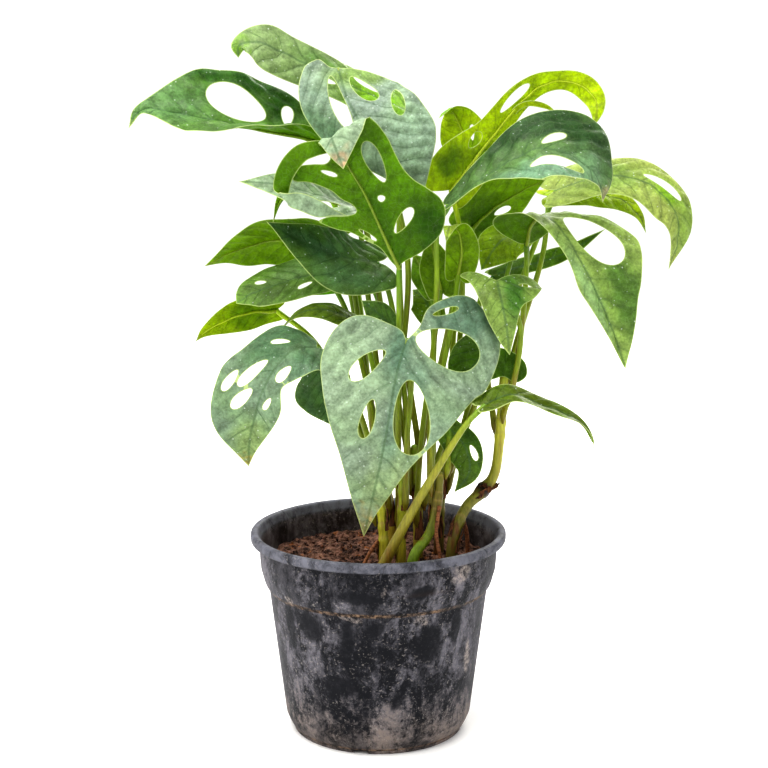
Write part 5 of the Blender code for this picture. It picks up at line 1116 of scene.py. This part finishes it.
def leaf_finish(name, vein_tone_and_groove_shade, vein_share, rib_tone_and_groove_shade, rib_share, roughness, glow, lift):
    """The finish of one side of the leaves. The colour comes with each point. Side veins stand where
    the vein number is whole, and grow thinner outwards, and the margin is a fine pale line."""
    made, tree, surface, where = new_material(name)
    own = add(tree, "Attribute", attribute_name="colour")
    vein, across, edge = (add(tree, "Attribute", attribute_name=key).outputs["Fac"]
                          for key in ("vein", "across", "edge"))
    cells = add(tree, "TexNoise", where, Scale=520.0, Detail=5.0, Roughness=0.62)
    blotches = add(tree, "TexNoise", where, Scale=95.0, Detail=5.0, Roughness=0.6, Distortion=0.4)
    both = add(tree, "Math", blotches, cells, operation="ADD")
    shade = add(tree, "MapRange", both, 0.76, 1.24, 0.64, 1.32)
    toned = add(tree, "Mix", 1.0, own, shade, data_type="RGBA", blend_type="MULTIPLY")
    # The distance from the nearest side vein, as a share of the space between two of them
    turned = add(tree, "Math", vein, 0.5, operation="ADD")
    part = add(tree, "Math", turned, operation="FRACT")
    apart = add(tree, "Math", part, 0.5, operation="SUBTRACT")
    apart = add(tree, "Math", apart, operation="ABSOLUTE")
    line = add(tree, "MapRange", apart, 0.085, 0.02, 0.0, vein_share, interpolation_type="SMOOTHSTEP")
    reach = add(tree, "Math", across, operation="ABSOLUTE")
    fade = add(tree, "MapRange", reach, 42.0, 4.0, 0.25, 1.0)
    line = add(tree, "Math", line, fade, operation="MULTIPLY")
    broken = add(tree, "MapRange", blotches, 0.40, 0.60, 0.25, 1.0)
    line = add(tree, "Math", line, broken, operation="MULTIPLY")
    # On the upper side this vein line is painted shade along the sunken side veins
    veined = add(tree, "Mix", line, toned, vein_tone_and_groove_shade, data_type="RGBA")
    # On the upper side the midrib line is painted shade in its groove
    rib = add(tree, "MapRange", reach, 1.3, 0.4, 0.0, rib_share, interpolation_type="SMOOTHSTEP")
    ribbed = add(tree, "Mix", rib, veined, rib_tone_and_groove_shade, data_type="RGBA")
    # The pale margin line is partly the margin's own paler tissue and partly painted highlight
    pale = add(tree, "MapRange", edge, 0.8, 0.2, 0.0, 0.7, interpolation_type="SMOOTHSTEP")
    margined = add(tree, "Mix", pale, ribbed, "#c6d68e", data_type="RGBA")
    # A net of hair-thin pale veins four millimetres wide joins the side veins
    net = add(tree, "TexVoronoi", where, Scale=260.0, feature="DISTANCE_TO_EDGE")
    net = add(tree, "MapRange", net, 0.05, 0.01, 0.0, 0.07)
    netted = add(tree, "Mix", net, margined, "#d5e4b4", data_type="RGBA")
    # Pale spots of dried water, each in the middle of a cell that the cell's own colour picks
    drops = add(tree, "TexVoronoi", where, Scale=330.0)
    chosen = add(tree, "SeparateColor", drops.outputs["Color"])
    chosen = add(tree, "MapRange", chosen, 0.78, 0.86)
    dot = add(tree, "MapRange", drops, 0.24, 0.10, 0.0, lift)
    dot = add(tree, "Math", dot, chosen, operation="MULTIPLY")
    dotted = add(tree, "Mix", dot, netted, "#dfe9dc", data_type="RGBA")
    gloss = add(tree, "MapRange", blotches, 0.35, 0.65, roughness - 0.07, roughness + 0.10)
    fine = add(tree, "Bump", Strength=0.5, Distance=0.0004, Height=cells)
    raised = add(tree, "Bump", Strength=0.9, Distance=0.0010, Height=line, Normal=fine, invert=(lift > 0))
    feed(surface, {"Base Color": dotted, "Roughness": gloss, "IOR": 1.45, "Specular IOR Level": 0.3,
                   "Normal": raised})
    # Light that comes through the blade leaves it as a yellower green
    lit = add(tree, "Mix", 0.55, dotted, "#b6d61a", data_type="RGBA")
    through = add(tree, "BsdfTranslucent", Color=lit, Normal=raised)
    feed(tree.nodes["Material Output"], {"Surface": add(tree, "MixShader", glow, surface, through)})
    return made


# The upper side: a waxy dull green with a grey bloom, so it shines softly and the veins barely show.
# Its side veins and midrib are drawn in a darker green, as painted shade in the grooves where they are sunk
leaf_upper = leaf_finish("waxy_upper_leaf_skin", "#35553a", 0.36, "#4c6a48", 0.50, 0.42, 0.2, 0.6)
# The under side: brighter and yellower, with the veins raised and clear, and more light in it
leaf_under = leaf_finish("bright_under_leaf_skin", "#35590a", 0.28, "#8c9430", 0.60, 0.5, 0.3, 0.0)
# The cut edge: a hair-thin band of clear tissue, drawn in cream partly as its own paler tone and partly as a
# painted highlight where it catches the light
leaf_rim = bpy.data.materials.new("pale_leaf_margin_and_painted_highlight")
leaf_rim.use_nodes = True
feed(leaf_rim.node_tree.nodes["Principled BSDF"], {"Base Color": "#c3d08a", "Roughness": 0.45})


def waves(flat, number):
    """The slow waves of a blade, as a height above its smooth surface."""
    return WAVE_DEPTH * ripple(flat, WAVE_LENGTH, 40 + number)


def groove(s, t, length):
    """The depth of the groove above the midrib: d e^-(t / 1.6)^2, which runs out over the last 20 mm."""
    return GROOVE_DEPTH * np.exp(-(t / 1.6) ** 2) * np.clip((length - s) / 20, 0, 1)


def blade_plate(row, look, number, has_rib=True):
    """A blade, or a strap of one, as a plate of two skins with a rim round them. Returns its points,
    its faces, each face's finish, and each point's colour, vein number, place across and distance
    from the edge."""
    rib = leaf_line(row)
    length = rib[3]
    margins, widths = leaf_margins(row, length)
    flat, triangles, edge = cut_pattern(row, margins, length)
    s, t = flat[:, 0], flat[:, 1]
    reach = np.abs(t)
    middle, out = blade_place(row, rib, widths, s, t)
    width = np.where(t > 0, *widths)
    spacing = VEIN_SPACING + VEIN_SPREAD * length
    vein = (s + 5.0 - 0.8 * reach - 0.45 * reach ** 2 / width) / spacing + 0.10 * ripple(flat, 26.0, number)
    # Between the side veins the blade bulges, and towards the margin it waves
    near_rib = np.clip(reach / 6.0, 0, 1) * has_rib
    near_edge = np.clip(edge / 4.0, 0, 1)
    quilt = (0.5 - 0.5 * np.cos(2 * math.pi * vein)) ** 0.7
    relief = QUILT_DEPTH * spacing * (quilt - 0.5) * near_rib * near_edge + waves(flat, number) * near_edge
    relief += 0.012 * length * ripple(flat, 0.33 * length, 80 + number) * (reach / width) ** 1.5 * has_rib
    relief -= groove(s, t, length) * has_rib
    middle = middle + out * relief[:, None]
    count = len(flat)
    half = BLADE / 2 * np.clip(0.45 + edge / 1.2, 0, 1)[:, None]
    a, b = rim_sides(triangles).T
    points = np.vstack([middle + out * half, middle - out * half])
    faces = np.vstack([triangles, triangles[:, ::-1] + count, np.column_stack([a, a + count, b + count]),
                       np.column_stack([a, b + count, b])])
    slots = np.repeat([0, 1, 2], [len(triangles), len(triangles), 2 * len(a)])
    upper, under, tip, dry = look[:4]
    from_tip = np.hypot(length - s, t * 0.8)
    parched = np.clip(1.1 - from_tip / max(dry, 1) + 0.4 * ripple(flat, 7.0, 120 + number), 0, 1) * has_rib
    fresh = np.clip(0.5 + 0.5 * ripple(flat, 0.3 * length, 160 + number), 0, 1)
    mottle_and_quilt_shade = 1 + 0.10 * ripple(flat, 9.0, 200 + number) + 0.06 * ripple(flat, 3.5, 240 + number)
    # Painted shade of the quilting: the bulges between side veins are painted lighter and the valleys along
    # the veins darker
    mottle_and_quilt_shade = mottle_and_quilt_shade * (1 + 0.10 * (quilt - 0.5) * near_rib)
    layers = []
    for side, (base, lift) in enumerate(((upper, "#86b04a"), (under, "#93bd14"))):
        tone = toward(np.tile(linear(base), (count, 1)), lift, 0.16 * fresh)
        # Each patch moves the tone towards its colour: some are real tone, others painted shade or painted
        # sheen
        for which, patch_s, patch_t, long, wide, shade, strength in look[4:] if has_rib else ():
            if which == side:
                far = np.hypot((s - patch_s) / long, (t - patch_t) / wide)
                far = far + 0.12 * ripple(flat, 15.0, 320 + number)
                tone = toward(tone, shade, np.clip(strength * np.clip(1.5 - far, 0, 1) ** 1.5, 0, 1))
        tone[:, :3] *= mottle_and_quilt_shade[:, None]
        layers.append(toward(tone, tip, 0.8 * parched))
    across = t if has_rib else np.full(count, FAR)
    vein = vein * has_rib
    return points, faces, slots, np.vstack(layers), np.tile(vein, 2), np.tile(across, 2), np.tile(edge, 2)


# Each leaf in one mesh: the blade and its straps as thin plates, its midrib and its stalk
for number, (name, row) in enumerate(LEAVES.items()):
    look = LEAF_COLOURS_AND_PAINTED_LIGHT[name]
    under = look[1]
    plates = [blade_plate(row, look, number)]
    plates += [blade_plate(strap, look, number, has_rib=False) for strap in row.get("straps", ())]

    # The midrib stands out below, thick at the stalk and thin towards the tip
    rib = leaf_line(row)
    length = rib[3]
    widths = leaf_margins(row, length)[1]
    s = np.linspace(0, RIB_REACH * length, max(8, int(length / 2.5)))
    thick = RIB_RADIUS * (1 - 0.8 * np.linspace(0, 1, len(s)) ** 0.7)
    centre, out = blade_place(row, rib, widths, s, np.full_like(s, 1e-6))
    level = waves(np.column_stack([s, np.zeros_like(s)]), number) - groove(s, 0.0, length)
    rib_points, rib_faces, way = carried(centre + out * (level - 0.9 * thick)[:, None], thick, RIB_SIDES)
    rib_colours = toward(np.tile(linear(under), (len(way), 1)), "#8c9430", 0.55 - 0.3 * way)

    # The stalk, with a shallow channel along it, a sheath at its foot and a knee below the blade
    if "cane" in row:
        foot, away = beside(row["cane"], row["height"], row["bearing"], STALK_FOOT_RADIUS)
        thick_foot = STALK_FOOT_RADIUS
        start = [foot + away * 0.8, cane_at(row["cane"], row["height"] + 10)[0] + away * 1.06]
    else:
        thick_foot = row["foot_radius"]
        start = [(*row["foot"], SOIL_LEVEL - SUNK), (*row["foot"], SOIL_LEVEL + 2)]
    base, up = blade_place(row, rib, widths, np.array([0.0]), np.array([1e-6]))
    end = base[0] - up[0] * STALK_TOP_RADIUS * 0.7
    centres = spaced(smooth_line([*start, *row["stalk"], end]), 2.5)
    run = lengths_of(centres)
    radius = thick_foot + (STALK_TOP_RADIUS - thick_foot) * np.linspace(0, 1, len(centres))
    radius = radius * (1 + 0.22 * np.exp(-(run / 12.0) ** 2)
                       + 0.16 * np.exp(-((run[-1] - run - 5) / 5.0) ** 2))
    radius = radius * (1 - 0.75 * np.exp(-(run / 4.0) ** 2))
    channel = 1 - 0.22 * np.exp(-((turns(STALK_SIDES) - math.pi) / 0.5) ** 2)
    stalk_points, stalk_faces, way = carried(centres, radius[:, None] * channel, STALK_SIDES)
    codes = STALK_COLOURS.get(name, STALK_COLOURS["others"])
    stalk_colours = blended((*codes, under), (0, 0.15, 0.8, 1), way)
    streak = np.clip(ripple(stalk_points * (1, 1, 0.15), 5.0, 280 + number) - 0.3, 0, 1)
    stalk_colours = toward(stalk_colours, "#7a4a26", streak * 0.6 * (1 - way) ** 0.7)

    points = [plate[0] for plate in plates] + [rib_points, stalk_points]
    starts = np.cumsum([0] + [len(p) for p in points])
    faces = [plate[1].tolist() for plate in plates] + [rib_faces, stalk_faces]
    faces = [[corner + start for corner in face] for group, start in zip(faces, starts) for face in group]
    slots = np.concatenate([plate[2] for plate in plates] + [np.full(len(rib_faces) + len(stalk_faces), 3)])
    finishes = [leaf_upper, leaf_under, leaf_rim, skin]
    leaf = make_piece("dressed_" + name, np.vstack(points), faces, finishes, 50.0)
    leaf.data.polygons.foreach_set("material_index", slots.astype(np.int32))
    store(leaf.data, "colour", np.vstack([plate[3] for plate in plates] + [rib_colours, stalk_colours]))
    spare = len(rib_points) + len(stalk_points)
    for place, key, rest in ((4, "vein", 0.0), (5, "across", FAR), (6, "edge", FAR)):
        store(leaf.data, key, np.concatenate([plate[place] for plate in plates] + [np.full(spare, rest)]))
    enter(leaf, name)
